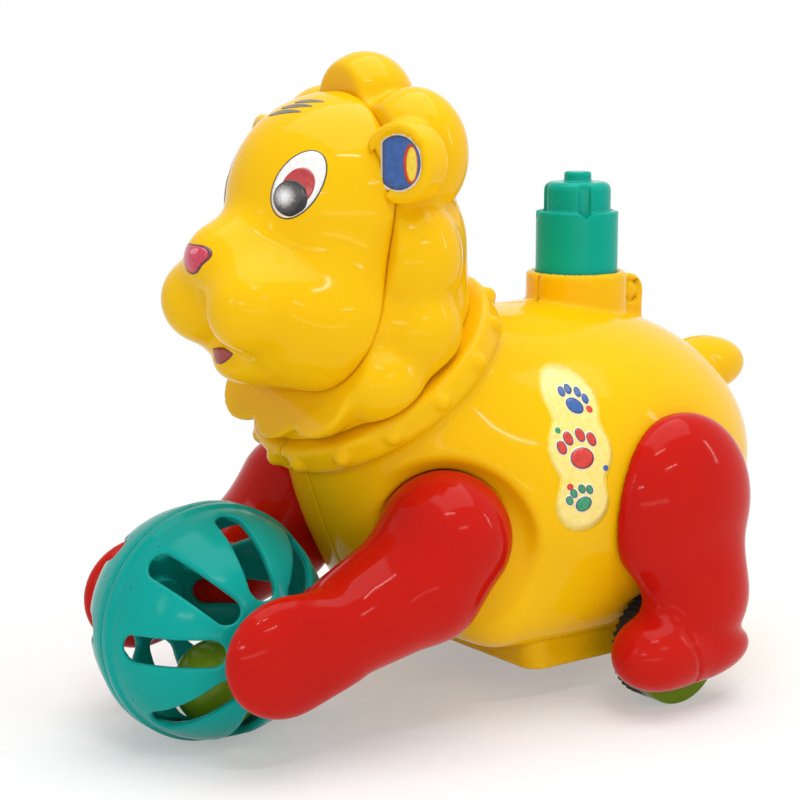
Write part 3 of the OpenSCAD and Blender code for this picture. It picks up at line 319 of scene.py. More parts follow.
def ball_field(p):
    """Slotted shell of the ball, with its ridge, end boss and pin hole."""
    q = p - BALL
    r = length(q)
    w = np.hypot(q[:, 0], q[:, 2])
    d = carve(r - BALL_R, r - BALL_R + BALL_WALL, 0.4)
    d = join(d, disc(q, np.zeros(3), SIDE, RIDGE_R, RIDGE_HALF, RIDGE_EDGE), 0.6)
    d = carve(d, disc(q, np.zeros(3), SIDE, BALL_R - RIDGE_WALL, 6, 0.2), 0.3)
    d = carve(d, BALL_END - q[:, 1], 0.5)
    d = join(d, disc(q, BALL_BOSS, SIDE, BALL_BOSS_R, BALL_BOSS_HALF, 0.4), 0.6)
    a = np.arctan2(q[:, 2], q[:, 0])
    a = (a + SLOT_TURN / 2) % SLOT_TURN - SLOT_TURN / 2
    x, z = w * np.cos(a), w * np.sin(a)
    along = -x * math.sin(SLOT_LAT) + q[:, 1] * math.cos(SLOT_LAT)
    out = x * math.cos(SLOT_LAT) + q[:, 1] * math.sin(SLOT_LAT)
    slot = np.hypot(np.maximum(np.abs(along) - SLOT_HALF, 0), z) - SLOT_R
    d = carve(d, np.maximum(slot, SLOT_FROM - out), 0.7)
    return carve(d, w - PIN_HOLE_R, 0.3)


def ball_half_field(p):
    """The ball's left half, cut a little short of the middle plane."""
    return carve(ball_field(p), p[:, 1] - BALL_HALF_GAP, 0.2)


KNOB_LOW, FLANGE_TOP, FLANGE_R = 81.6, 85.5, 12.1
NOTCH_TURN, NOTCH_FROM, HALF_ROOT = math.radians(62), 7.5, 0.707


def knob_field(p):
    """Hollow knob with a flange below, a cap and button on top and four notches with grooves."""
    w = np.hypot(p[:, 0] - KNOB_X, p[:, 1])
    d = pillar(p, KNOB_X, 0, KNOB_LOW, KNOB_TOP - 10, KNOB_R, 0.6)
    d = join(d, pillar(p, KNOB_X, 0, KNOB_LOW, FLANGE_TOP, FLANGE_R, 0.4), 0.3)
    cap = pillar(p, KNOB_X, 0, 105, KNOB_TOP - 2.6, KNOB_R - 2, 2.2)
    cap = join(cap, pillar(p, KNOB_X, 0, 110, KNOB_TOP, 3.5, 0.7), 0.7)
    a = np.arctan2(p[:, 1], p[:, 0] - KNOB_X) - NOTCH_TURN
    a = (a + math.pi / 4) % (math.pi / 2) - math.pi / 4
    x, y = w * np.cos(a), w * np.sin(a)
    notch = (np.abs(y) + (KNOB_TOP - 11.8 - p[:, 2])) * HALF_ROOT
    d = carve(d, np.maximum(notch, NOTCH_FROM - x), 0.6)
    groove = np.maximum(np.maximum(np.abs(y) - 1.4, KNOB_R - 2.9 - x), KNOB_TOP - 12 - p[:, 2])
    cap = carve(cap, groove, 0.6)
    d = join(d, cap, 0.4)
    return carve(d, pillar(p, KNOB_X, 0, 70, 111, 8.6, 0.3), 0.3)


TRAY_FLOOR, AXLE_BOSS_R, AXLE_HOLE_R = 1.1, 3.1, 1.55
TRAY_SCREWS = [(-62.6, 23.5), (-7.6, 23.5)]


def tray_field(p):
    """Tray that is hollow only where the body covers it, with axle bosses and screw wells."""
    d = slab(p, TRAY[0], TRAY[1], TRAY_CORNER, 0.8)
    low, high = TRAY[0] + [TRAY_WALL, TRAY_WALL, TRAY_FLOOR], TRAY[1] + [-TRAY_WALL, -TRAY_WALL, 9]
    room = slab(p, low, high, 3.2, 0.4)
    under = body_shape(np.column_stack([p[:, :2], np.full(len(p), TRAY[1, 2] + 1)])) + 2
    d = carve(d, np.maximum(room, under), 0.4)
    q = fold(p)
    d = join(d, bolt(q, REAR_X, WHEEL_R, 27.5, 32.8, AXLE_BOSS_R, 0.4), 0.6)
    d = carve(d, bolt(q, REAR_X, WHEEL_R, 20, 40, AXLE_HOLE_R, 0.05), 0.2)
    for x, y in TRAY_SCREWS:
        d = carve(d, pillar(q, x, y, 0, 26, SCREW_WELL_R, 0.2), 0.3)
    return d


# Skins: a net over the cells that the surface crosses, pulled onto it
CORNERS = np.array([[1, -1, -1], [-1, -1, 1], [-1, 1, -1], [1, 1, 1]], float)
PROBE, PULLS = 0.05, 3
LEAST_SLOPE, LEAST_LENGTH = 0.05, 1e-9


def gradient(field, p):
    return sum(v * field(p + v * PROBE)[:, None] for v in CORNERS) / (4 * PROBE)


def pull(field, p, cap):
    """Moves points onto the surface, each step and the whole way held to a cap."""
    start = p.copy()
    for _ in range(PULLS):
        g = gradient(field, p)
        step = field(p)[:, None] * g / np.maximum((g * g).sum(1), LEAST_SLOPE)[:, None]
        p = p - np.clip(step, -cap, cap)
        far = p - start
        n = np.maximum(length(far), LEAST_LENGTH)
        p = start + far * np.minimum(1, 1.5 * cap / n)[:, None]
    return p


def net(field, lo, hi, step):
    """Points and quads of a field's surface inside a box, from cells of one size."""
    axes = [np.arange(a, b + step, step) for a, b in zip(lo, hi)]
    shape = tuple(len(a) for a in axes)
    grid = np.empty(shape)
    for i, x in enumerate(axes[0]):
        y, z = np.meshgrid(axes[1], axes[2], indexing="ij")
        grid[i] = field(np.column_stack([np.full(y.size, x), y.ravel(), z.ravel()])).reshape(y.shape)
    cells = tuple(n - 1 for n in shape)
    total, count = np.zeros((np.prod(cells), 3)), np.zeros(np.prod(cells))
    quads = []
    for ax in range(3):
        u, v = (ax + 1) % 3, (ax + 2) % 3
        low = np.take(grid, range(shape[ax] - 1), ax)
        high = np.take(grid, range(1, shape[ax]), ax)
        at = np.argwhere((low < 0) != (high < 0))
        a, b = low[tuple(at.T)], high[tuple(at.T)]
        point = np.column_stack([axes[k][at[:, k]] for k in range(3)])
        point[:, ax] += step * a / (a - b)
        ok = (at[:, u] > 0) & (at[:, v] > 0) & (at[:, u] < shape[u] - 1) & (at[:, v] < shape[v] - 1)
        at, a, point = at[ok], a[ok], point[ok]
        ring = []
        for du, dv in ((-1, -1), (0, -1), (0, 0), (-1, 0)):
            c = at.copy()
            c[:, u] += du
            c[:, v] += dv
            flat = np.ravel_multi_index(tuple(c.T), cells)
            np.add.at(total, flat, point)
            np.add.at(count, flat, 1)
            ring.append(flat)
        ring = np.column_stack(ring)
        ring[a >= 0] = ring[a >= 0][:, ::-1]
        quads.append(ring)
    quads = np.concatenate(quads)
    used, quads = np.unique(quads, return_inverse=True)
    quads = quads.reshape(-1, 4)
    return pull(field, total[used] / count[used][:, None], step * 0.6), quads


def piece(name, points, faces, body, slot, material, stands_for=()):
    """A smooth mesh that rides on a body and stands for CAD nodes."""
    mesh = bpy.data.meshes.new(name)
    mesh.from_pydata((np.asarray(points) / MM).tolist(), [], [list(map(int, f)) for f in faces])
    mesh.validate()
    mesh.shade_smooth()
    o = bpy.data.objects.new(name, mesh)
    bpy.context.scene.collection.objects.link(o)
    mesh.materials.append(material)
    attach(o, body)
    if stands_for:
        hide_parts(*stands_for)
    return o


def mirrored(points, faces):
    return points * [1, -1, 1], [f[::-1] for f in faces]


SEAM_TOLERANCE, SEAM_EASE, SEAM_HALF, SEAM_LIP = 1e-3, 0.12, 0.07, 1.2


def halved(field, points, quads, sign):
    """One side of the middle plane, with its cut edge eased in and turned over a lip, so the seam shows."""
    keep = quads[(points[quads][:, :, 1] * sign > -SEAM_TOLERANCE).all(1)]
    used, keep = np.unique(keep, return_inverse=True)
    faces, points = keep.reshape(-1, 4).tolist(), points[used].copy()
    edges = set()
    for f in faces:
        for a, b in zip(f, f[1:] + f[:1]):
            if (b, a) in edges:
                edges.remove((b, a))
            else:
                edges.add((a, b))
    edges = sorted(edges)
    rim = np.unique(edges)
    n = gradient(field, points[rim]) * [1, 0, 1]
    n /= np.maximum(length(n), 1e-6)[:, None]
    points[rim] -= SEAM_EASE * n
    points[rim, 1] = SEAM_HALF * sign
    turned = {int(i): len(points) + k for k, i in enumerate(rim)}
    lip = points[rim] - SEAM_LIP * n
    faces += [[b, a, turned[a], turned[b]] for a, b in edges]
    return np.vstack([points, lip]), faces


def unit(v):
    v = np.asarray(v, float)
    return v / math.sqrt(v @ v)


LAND_FROM, LAND_STEPS, LAND_SHARE = 40.0, 70, 0.85
FILM_SINK = 0.3


def land(field, q, w):
    """Brings points in along w to the outermost skin of a field."""
    t = np.full(len(q), LAND_FROM)
    for _ in range(LAND_STEPS):
        t -= field(q + t[:, None] * w) * LAND_SHARE
    return q + t[:, None] * w


def film(field, c, w, up, rim, lift, middle=(0, 0), rings=6):
    """One printed layer: a thin closed plate that follows the skin inside a flat outline."""
    w = unit(w)
    v = unit(np.asarray(up, float) - (np.asarray(up, float) @ w) * w)
    u = np.cross(v, w)
    rim, middle = np.asarray(rim, float), np.asarray(middle, float)
    n = len(rim)
    flat = np.vstack([middle[None]] + [middle + (rim - middle) * k / rings for k in range(1, rings + 1)])
    p = land(field, np.asarray(c, float) + flat[:, :1] * u + flat[:, 1:] * v, w)
    g = gradient(field, p)
    g /= length(g)[:, None]
    top, low = p + lift * g, p - FILM_SINK * g
    faces = [[0, 1 + k, 1 + (k + 1) % n] for k in range(n)]
    for i in range(rings - 1):
        a, b = 1 + i * n, 1 + (i + 1) * n
        faces += [[a + k, b + k, b + (k + 1) % n, a + (k + 1) % n] for k in range(n)]
    m, last = len(p), 1 + (rings - 1) * n
    under = [[m + i for i in f[::-1]] for f in faces]
    skirt = [[last + k, m + last + k, m + last + (k + 1) % n, last + (k + 1) % n] for k in range(n)]
    return np.vstack([top, low]), faces + under + skirt


def oval(cu, cv, su, sv, turn=0, n=40):
    """Outline of an oval, turned by an angle in degrees."""
    a = np.linspace(0, 2 * math.pi, n, endpoint=False)
    x, y, t = su * np.cos(a), sv * np.sin(a), math.radians(turn)
    return np.column_stack([cu + x * math.cos(t) - y * math.sin(t), cv + x * math.sin(t) + y * math.cos(t)])


def inside(rim, middle, su, sv):
    """Holds an outline inside an oval about the origin, along rays from its middle."""
    d = rim - middle
    k = np.array([su, sv])
    a, b = ((d / k) ** 2).sum(1), ((d / k) * (middle / k)).sum(1)
    t = (-b + np.sqrt(b * b - a * (((middle / k) ** 2).sum() - 1))) / a
    return middle + d * np.minimum(1, t)[:, None]


def sticker(name, layers, slot, stands_for=()):
    """One printed piece of the lion from layers of points, faces and ink."""
    points = np.vstack([p for p, _, _ in layers])
    faces, tones, inks, at = [], [], [], 0
    for p, f, ink in layers:
        if ink not in inks:
            inks.append(ink)
        faces += [[i + at for i in g] for g in f]
        tones += [inks.index(ink)] * len(f)
        at += len(p)
    o = piece(name, points, faces, "lion", slot, inks[0], stands_for)
    for ink in inks[1:]:
        o.data.materials.append(ink)
    o.data.polygons.foreach_set("material_index", tones)


# Materials
def fresh(name):
    m = bpy.data.materials.new(name)
    m.use_nodes = True
    return m, m.node_tree, m.node_tree.nodes["Principled BSDF"]


def noise(tree, scale, detail, stretch=None):
    coord = tree.nodes.new("ShaderNodeTexCoord")
    n = tree.nodes.new("ShaderNodeTexNoise")
    n.inputs["Scale"].default_value = scale
    n.inputs["Detail"].default_value = detail
    if stretch:
        m = tree.nodes.new("ShaderNodeMapping")
        m.inputs["Scale"].default_value = stretch
        tree.links.new(coord.outputs["Object"], m.inputs["Vector"])
        tree.links.new(m.outputs["Vector"], n.inputs["Vector"])
    else:
        tree.links.new(coord.outputs["Object"], n.inputs["Vector"])
    return n.outputs["Fac"]


def ramp(tree, fac, stops):
    r = tree.nodes.new("ShaderNodeValToRGB")
    el = r.color_ramp.elements
    for k, (at, colour) in enumerate(stops):
        e = el[k] if k < 2 else el.new(at)
        e.position, e.color = at, (*colour, 1)
    tree.links.new(fac, r.inputs["Fac"])
    return r.outputs["Color"]


def spread(tree, fac, lo, hi):
    m = tree.nodes.new("ShaderNodeMapRange")
    m.inputs["From Min"].default_value, m.inputs["From Max"].default_value = 0.3, 0.7
    m.inputs["To Min"].default_value, m.inputs["To Max"].default_value = lo, hi
    tree.links.new(fac, m.inputs["Value"])
    return m.outputs["Result"]


def bump(tree, shader, fac, depth):
    b = tree.nodes.new("ShaderNodeBump")
    b.inputs["Strength"].default_value, b.inputs["Distance"].default_value = 1.0, depth
    tree.links.new(fac, b.inputs["Height"])
    tree.links.new(b.outputs["Normal"], shader.inputs["Normal"])


def moulded(name, deep, pale, rough, peel=0.000012):
    """Gloss moulding: faint flow clouds in the colour, handling marks in the gloss, a slight orange peel."""
    m, t, s = fresh(name)
    t.links.new(ramp(t, noise(t, 22, 4), [(0.3, deep), (0.7, pale)]), s.inputs["Base Color"])
    t.links.new(spread(t, noise(t, 420, 6, (1, 0.25, 1)), rough * 0.8, rough * 1.35), s.inputs["Roughness"])
    s.inputs["Specular IOR Level"].default_value = 0.09
    bump(t, s, noise(t, 260, 2), peel)
    return m


def printed(name, deep, pale, rough=0.32):
    """Ink on film: a fine dot screen in the tone."""
    m, t, s = fresh(name)
    t.links.new(ramp(t, noise(t, 900, 2), [(0.35, deep), (0.65, pale)]), s.inputs["Base Color"])
    t.links.new(spread(t, noise(t, 500, 3), rough * 0.8, rough * 1.2), s.inputs["Roughness"])
    s.inputs["Coat Weight"].default_value = 0.3
    s.inputs["Coat Roughness"].default_value = 0.15
    return m


def metal(name, deep, pale, rough):
    """Drawn metal: streaks in the tone and in the gloss."""
    m, t, s = fresh(name)
    t.links.new(ramp(t, noise(t, 700, 4, (1, 0.05, 1)), [(0.3, deep), (0.7, pale)]), s.inputs["Base Color"])
    t.links.new(spread(t, noise(t, 900, 5, (1, 0.05, 1)), rough * 0.7, rough * 1.4), s.inputs["Roughness"])
    s.inputs["Metallic"].default_value = 1.0
    return m


YELLOW = moulded("yellow_plastic", (0.87, 0.49, 0.002), (0.92, 0.54, 0.004), 0.075)
RED = moulded("red_plastic", (0.49, 0.007, 0.0035), (0.56, 0.011, 0.005), 0.085)
TEAL = moulded("teal_plastic", (0.001, 0.29, 0.255), (0.003, 0.355, 0.31), 0.16)
# The knob's teal: greener than the ball's, which is its own tone, and lighter, which is painted light
KNOB_GREENER_TEAL_WITH_PAINTED_LIGHT = moulded("knob_greener_teal_with_painted_light", (0.001, 0.35, 0.265), (0.003, 0.42, 0.325), 0.16)
GREEN = moulded("green_plastic", (0.13, 0.24, 0.008), (0.19, 0.32, 0.015), 0.17)
NYLON = moulded("nylon", (0.70, 0.67, 0.57), (0.80, 0.78, 0.69), 0.42, 0.00003)
STEEL = metal("steel", (0.46, 0.46, 0.48), (0.66, 0.66, 0.67), 0.26)

RUBBER, tree, shader = fresh("tyre_rubber")
tree.links.new(ramp(tree, noise(tree, 160, 6), [(0.3, (0.010, 0.010, 0.011)), (0.75, (0.030, 0.029, 0.027))]),
               shader.inputs["Base Color"])
tree.links.new(spread(tree, noise(tree, 300, 4), 0.5, 0.75), shader.inputs["Roughness"])
bump(tree, shader, noise(tree, 1500, 3), 0.00004)

WHITE_INK = printed("white_ink", (0.82, 0.80, 0.78), (0.90, 0.89, 0.88))
DARK_INK = printed("dark_ink", (0.018, 0.012, 0.014), (0.035, 0.025, 0.026))
MAROON_INK = printed("maroon_ink", (0.09, 0.006, 0.02), (0.13, 0.010, 0.03))
CRIMSON_INK = printed("crimson_ink", (0.52, 0.018, 0.055), (0.66, 0.035, 0.085), 0.2)
# Rose: a painted highlight on the nose
PAINTED_NOSE_HIGHLIGHT = printed("painted_nose_highlight", (0.75, 0.16, 0.22), (0.85, 0.26, 0.30), 0.2)
EYE_RED_INK = printed("eye_red_ink", (0.38, 0.012, 0.018), (0.52, 0.025, 0.03))
LIP_INK = printed("lip_ink", (0.30, 0.010, 0.012), (0.38, 0.018, 0.016))
BLUE_INK = printed("blue_ink", (0.010, 0.075, 0.31), (0.02, 0.11, 0.40))
SUN_INK = printed("sun_ink", (0.88, 0.60, 0.02), (0.95, 0.72, 0.05))
SCARLET_INK = printed("scarlet_ink", (0.56, 0.02, 0.012), (0.68, 0.035, 0.02))
LEAF_INK = printed("leaf_ink", (0.015, 0.24, 0.10), (0.03, 0.32, 0.15))
STRIPE_INK = printed("stripe_ink", (0.10, 0.085, 0.06), (0.17, 0.15, 0.11))
LABEL_FILM = printed("label_film", (0.90, 0.70, 0.16), (0.94, 0.76, 0.24), 0.28)

# Silver and black pupil: the black ink with a painted highlight, bright round one spot and broken by a
# speckle, fading to dark towards the rim
PUPIL_PRINT_AND_PAINTED_SHINE, tree, shader = fresh("pupil_print_and_painted_shine")
EYE_W, EYE_UP = unit([0.78, 0.58, 0.26]), unit([-0.545, 0.22, 0.81])
EYE = SKULL + [21.3, 15, 7] - 8 * EYE_W
EYE_U = np.cross(unit(EYE_UP - (EYE_UP @ EYE_W) * EYE_W), EYE_W)
# Middle of the pupil's painted highlight
PAINTED_HIGHLIGHT_SPOT = land(face_shape, (EYE - 1.0 * EYE_U - 4.0 * EYE_UP)[None], EYE_W)[0] / MM
coord = tree.nodes.new("ShaderNodeTexCoord")
fold_y = tree.nodes.new("ShaderNodeVectorMath")
fold_y.operation = "ABSOLUTE"
apart = tree.nodes.new("ShaderNodeVectorMath")
apart.operation = "DISTANCE"
apart.inputs[1].default_value = PAINTED_HIGHLIGHT_SPOT.tolist()
tree.links.new(coord.outputs["Object"], fold_y.inputs[0])
tree.links.new(fold_y.outputs["Vector"], apart.inputs[0])
speck = tree.nodes.new("ShaderNodeMath")
speck.operation = "MULTIPLY_ADD"
speck.inputs[1].default_value = 0.0016
tree.links.new(noise(tree, 2600, 2), speck.inputs[0])
tree.links.new(apart.outputs["Value"], speck.inputs[2])
scaled = tree.nodes.new("ShaderNodeMath")
scaled.operation = "MULTIPLY"
scaled.inputs[1].default_value = 200.0
tree.links.new(speck.outputs["Value"], scaled.inputs[0])
# Tones out from the spot: painted highlight in silver, then the pupil's black ink
PUPIL_PRINT_AND_HIGHLIGHT_TONES = [(0.28, (0.82, 0.82, 0.83)), (0.98, (0.006, 0.005, 0.006)),
               (0.46, (0.50, 0.49, 0.49)), (0.7, (0.08, 0.07, 0.07))]
tree.links.new(ramp(tree, scaled.outputs["Value"], PUPIL_PRINT_AND_HIGHLIGHT_TONES), shader.inputs["Base Color"])
tree.links.new(spread(tree, noise(tree, 600, 2), 0.16, 0.28), shader.inputs["Roughness"])

# Skins that stand for the faceted solids
BODY_CELL, HEAD_CELL, TRAY_CELL, KNOB_CELL, LIMB_CELL, BALL_CELL = 0.9, 0.8, 0.7, 0.5, 0.8, 0.6
points, quads = net(body_field, (-103, -55.5 * BODY_CELL, 7), (55, 56 * BODY_CELL, 108), BODY_CELL)
for side_name, sign in (("left", 1), ("right", -1)):
    piece(f"body_{side_name}_skin", *halved(body_field, points, quads, sign), "lion", "yellow_plastic",
          YELLOW, [f"body_{side_name}_shell"])
face_net = net(face_field, (24, -33, 78), (80, 33, 154), HEAD_CELL)
mane_net = net(mane_field, (-6, -42, 66), (70, 42, 162), HEAD_CELL)
tray_net = net(tray_field, (-70, -35, 7), (0, 35, 34), TRAY_CELL)
knob_net = net(knob_field, (KNOB_X - 14, -14, 80), (KNOB_X + 14, 14, 130), KNOB_CELL)
piece("face_skin", *face_net, "lion", "yellow_plastic", YELLOW, ["face_shell"])
piece("mane_skin", *mane_net, "lion", "yellow_plastic", YELLOW, ["mane_shell"])
piece("tray_skin", *tray_net, "lion", "yellow_plastic", YELLOW, ["gearbox_tray"])
# The knob skin takes the lighter teal, with its painted light
piece("knob_skin", *knob_net, "plunger", "teal_plastic", KNOB_GREENER_TEAL_WITH_PAINTED_LIGHT, ["plunger_knob"])
arm = net(arm_field, (8, 8, 10), (90, 54, 68), LIMB_CELL)
leg = net(leg_field, (-60, 30, 3), (-5, 64, 86), LIMB_CELL)
ball = net(ball_half_field, (42, -1, -1), (102, 29.5, 58), BALL_CELL)
for side_name in ("left", "right"):
    if side_name == "right":
        arm, leg, ball = mirrored(*arm), mirrored(*leg), mirrored(*ball)
    piece(f"front_leg_{side_name}_skin", *arm, "lion", "red_plastic", RED, [f"front_leg_{side_name}"])
    piece(f"rear_leg_{side_name}_skin", *leg, "lion", "red_plastic", RED, [f"rear_leg_{side_name}"])
    piece(f"ball_{side_name}_skin", *ball, "ball", "teal_plastic", TEAL, [f"ball_{side_name}_half"])

# Prints on film, with the painted highlights of pupil and nose: layers of outline, middle, ink and height
# above the skin
MIDDLE, PUPIL, IRIS = (0, 0), (0.3, -3.6), (0.4, -0.6)
eye_pupil = inside(oval(*PUPIL, 4.0, 4.0), np.array(PUPIL), 4.9, 8.1)
eye_layers = [(oval(*MIDDLE, 5.4, 8.6), MIDDLE, DARK_INK, 0.08),
              (oval(*MIDDLE, 5.1, 8.3), MIDDLE, WHITE_INK, 0.13),
              (oval(*IRIS, 3.6, 4.6), IRIS, EYE_RED_INK, 0.18), (eye_pupil, PUPIL, PUPIL_PRINT_AND_PAINTED_SHINE, 0.23)]
eye = [(*film(face_shape, EYE, EYE_W, EYE_UP, rim, lift, mid, 8), ink) for rim, mid, ink, lift in eye_layers]

ear_rims = [oval(*MIDDLE, r, r, 0, 48) for r in (6.7, 6.1)]
for rim, edge in zip(ear_rims, (-4.6, -4.1)):
    rim[:, 0] = np.maximum(rim[:, 0], edge)
EAR_MIDDLE, EAR_RED, EAR_SUN = (1, 0), (3.5, -0.2), (3.8, -0.2)
ear_layers = [(ear_rims[0], EAR_MIDDLE, WHITE_INK, 0.06), (ear_rims[1], EAR_MIDDLE, BLUE_INK, 0.12),
              (oval(*EAR_RED, 1.9, 4.4), EAR_RED, SCARLET_INK, 0.18),
              (oval(*EAR_SUN, 1.4, 3.8), EAR_SUN, SUN_INK, 0.24)]
ear = [(*film(ear_floor, EAR, EAR_N, UPRIGHT, rim, lift, mid, 5), ink) for rim, mid, ink, lift in ear_layers]


TOE_ANGLES = (-1.05, -0.36, 0.36, 1.05)
PAW_SPOTS = [(0, -0.25, 0.62, 0.5)]
PAW_SPOTS += [(math.sin(a), 0.12 + 0.75 * math.cos(a), 0.23, 0.32) for a in TOE_ANGLES]
PAW_LIFT = 0.19


def paw_mark(cu, cv, size, turn, tone):
    """A plain paw mark: one pad and four toes, each with a dark and a white edge."""
    t = math.radians(turn)
    out = []
    for x, y, a, b in PAW_SPOTS:
        u = cu + size * (x * math.cos(t) - y * math.sin(t))
        v = cv + size * (x * math.sin(t) + y * math.cos(t))
        for grow, ink, up in ((0.336, WHITE_INK, 0), (0.12, DARK_INK, 0.04), (-0.072, tone, 0.08)):
            rim = oval(u, v, size * a + grow, size * b + grow, turn, 28)
            out.append((rim, (u, v), ink, PAW_LIFT + up))
    return out


LABEL = np.array([-4.7, 0.0, 66.5])
CLOUD = [((0.8, 12.0), 7.2), ((-0.3, 0.0), 8.2), ((-0.6, -12.2), 7.0)]
CLOUD_FROM, CLOUD_STEPS, CLOUD_SHARE, CLOUD_FILLET = 30.0, 60, 0.7, 4.0
DOTS = [(4.6, 9.0, 0.8, SCARLET_INK), (-5.0, 4.6, 0.7, LEAF_INK), (5.4, -4.2, 0.7, BLUE_INK),
        (-4.0, -8.2, 0.8, SCARLET_INK), (1.6, 13.4, 0.6, LEAF_INK), (-1.6, -13.2, 0.6, BLUE_INK)]
angles = np.linspace(0, 2 * math.pi, 96, endpoint=False)
ray = np.column_stack([np.cos(angles), np.sin(angles)])


def cloud(grow):
    """Outline round three marks, found along rays from the middle."""
    t = np.full((len(ray), 1), CLOUD_FROM)
    for _ in range(CLOUD_STEPS):
        d = None
        for c, r in CLOUD:
            e = np.hypot(*(ray * t - c).T) - r - grow
            d = e if d is None else join(d, e, CLOUD_FILLET)
        t -= d[:, None] * CLOUD_SHARE
    return ray * t


label_layers = [(cloud(0), MIDDLE, SUN_INK, 0.1), (cloud(-0.5), MIDDLE, LABEL_FILM, 0.15)]
label_layers += paw_mark(-0.6, -0.6, 4.6, 12, SCARLET_INK)
label_layers += paw_mark(1.4, 10.6, 3.2, -18, BLUE_INK)
label_layers += paw_mark(-1.0, -11.6, 3.2, 26, LEAF_INK)
for u, v, r, ink in DOTS:
    label_layers.append((oval(u, v, r, r, 0, 18), (u, v), ink, 0.2))
label = []
for rim, mid, ink, lift in label_layers:
    rings = 10 if len(rim) == len(ray) else 4
    label.append((*film(body_shape, LABEL, SIDE, (-0.04, 0, 1), rim, lift, mid, rings), ink))


def other_side(layers):
    return [(*mirrored(p, f), ink) for p, f, ink in layers]


for kind, layers, node in (("eye_print", eye, "eye_sticker"), ("ear_print", ear, "ear_lining"),
                           ("label_print", label, "side_label")):
    sticker(f"{kind}_left", layers, kind, [f"{node}_left"])
    sticker(f"{kind}_right", other_side(layers), kind, [f"{node}_right"])

angles = np.linspace(0, 2 * math.pi, 48, endpoint=False)
wave, rise = np.cos(angles), np.sin(angles)
shield = (0.87 + 0.13 * np.cos(3 * angles - math.pi / 2))[:, None] * np.column_stack([6.4 * wave, 3.9 * rise])
# The rose spot on the nose is a painted highlight
NOSE, NOSE_W, NOSE_PAINTED_HIGHLIGHT_AT = SKULL + [29, 0, -10.8], unit([0.98, 0, 0.1]), (1.2, 1.4)
nose_layers = [(shield, MIDDLE, MAROON_INK, 0.08), (shield * 0.86, MIDDLE, CRIMSON_INK, 0.2),
               (oval(*NOSE_PAINTED_HIGHLIGHT_AT, 1.3, 0.6, 15, 24), NOSE_PAINTED_HIGHLIGHT_AT, PAINTED_NOSE_HIGHLIGHT, 0.26)]
nose = [(*film(face_shape, NOSE, NOSE_W, UPRIGHT, rim, lift, mid, 6), ink)
        for rim, mid, ink, lift in nose_layers]
sticker("nose_print", nose, "nose_print", ["nose_sticker"])
MOUTH, MOUTH_W = SKULL + [24, 0, -32.0], (1, 0, -0.1)
smile = np.column_stack([4.4 * wave, 1.3 * rise * (1 - 0.35 * np.cos(2 * angles)) + 0.9 * wave ** 2])
mouth_layers = [(smile, MAROON_INK, 0.1), (smile * [0.9, 0.8], LIP_INK, 0.16)]
mouth = [(*film(face_shape, MOUTH, MOUTH_W, UPRIGHT, rim, lift, MIDDLE, 8), ink)
         for rim, ink, lift in mouth_layers]
sticker("mouth_print", mouth, "nose_print")
stripes = []
for k in (-1, 0, 1):
    rim = np.column_stack([0.8 * wave * (1 - 0.3 * rise), (4.3 - 0.5 * k) * rise])
    stripes.append((*film(face_shape, SKULL + [5.1 - 3.3 * k, 0.5 + 0.9 * k, 8], (0.45, 0.12, 0.88),
                          (-0.42 - 0.08 * k, 0.9, 0), rim, 0.12), STRIPE_INK))
sticker("stripe_print", stripes, "stripe_print", ["forehead_stripes"])

# Return spring, a coil of wire under the stem
COIL_R, WIRE_R, TURNS, TURN_RINGS, SIDES = 3.1, 0.4, 5, 24, 10
COIL_LOW, COIL_HIGH = FLOOR_TOP + 0.45, TRAY[1, 2] - 0.45
RINGS = TURNS * TURN_RINGS
turned = np.repeat(np.arange(RINGS + 1) / TURN_RINGS, SIDES)
round_wire = np.tile(np.arange(SIDES), RINGS + 1) * 2 * np.pi / SIDES
out = COIL_R + WIRE_R * np.cos(round_wire)
height = COIL_LOW + (COIL_HIGH - COIL_LOW) * turned / TURNS + WIRE_R * np.sin(round_wire)
coil = np.column_stack([KNOB_X + out * np.cos(2 * np.pi * turned), out * np.sin(2 * np.pi * turned), height])
walls = [[i * SIDES + j, (i + 1) * SIDES + j, (i + 1) * SIDES + (j + 1) % SIDES, i * SIDES + (j + 1) % SIDES]
         for i in range(RINGS) for j in range(SIDES)]
ends = [list(range(SIDES)), list(range(RINGS * SIDES, (RINGS + 1) * SIDES))[::-1]]
spring = piece("spring_coil", coil, walls + ends, "lion", "steel", STEEL, ["return_spring"])
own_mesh(spring)

# Solids that show as they are
finish_of = {"yellow_plastic": YELLOW, "red_plastic": RED, "teal_plastic": TEAL, "green_plastic": GREEN,
             "tyre_rubber": RUBBER, "steel": STEEL, "nylon": NYLON}
for part in frame["record"]["subparts"]:
    o = nodes[part["node"]]
    m = finish_of.get(part["material_slot"], WHITE_INK)
    if o.material_slots:
        for s in o.material_slots:
            s.material = m
    else:
        o.data.materials.append(m)

# Floor, light and camera
def seen_plainly(tree):
    """1 for what the camera, a mirror image or a clear piece shows, 0 for rays that carry light."""
    path = tree.nodes.new("ShaderNodeLightPath")
    total = path.outputs["Is Camera Ray"]
    for kind in ("Is Glossy Ray", "Is Transmission Ray"):
        either = tree.nodes.new("ShaderNodeMath")
        either.operation = "MAXIMUM"
        tree.links.new(total, either.inputs[0])
        tree.links.new(path.outputs[kind], either.inputs[1])
        total = either.outputs["Value"]
    return total


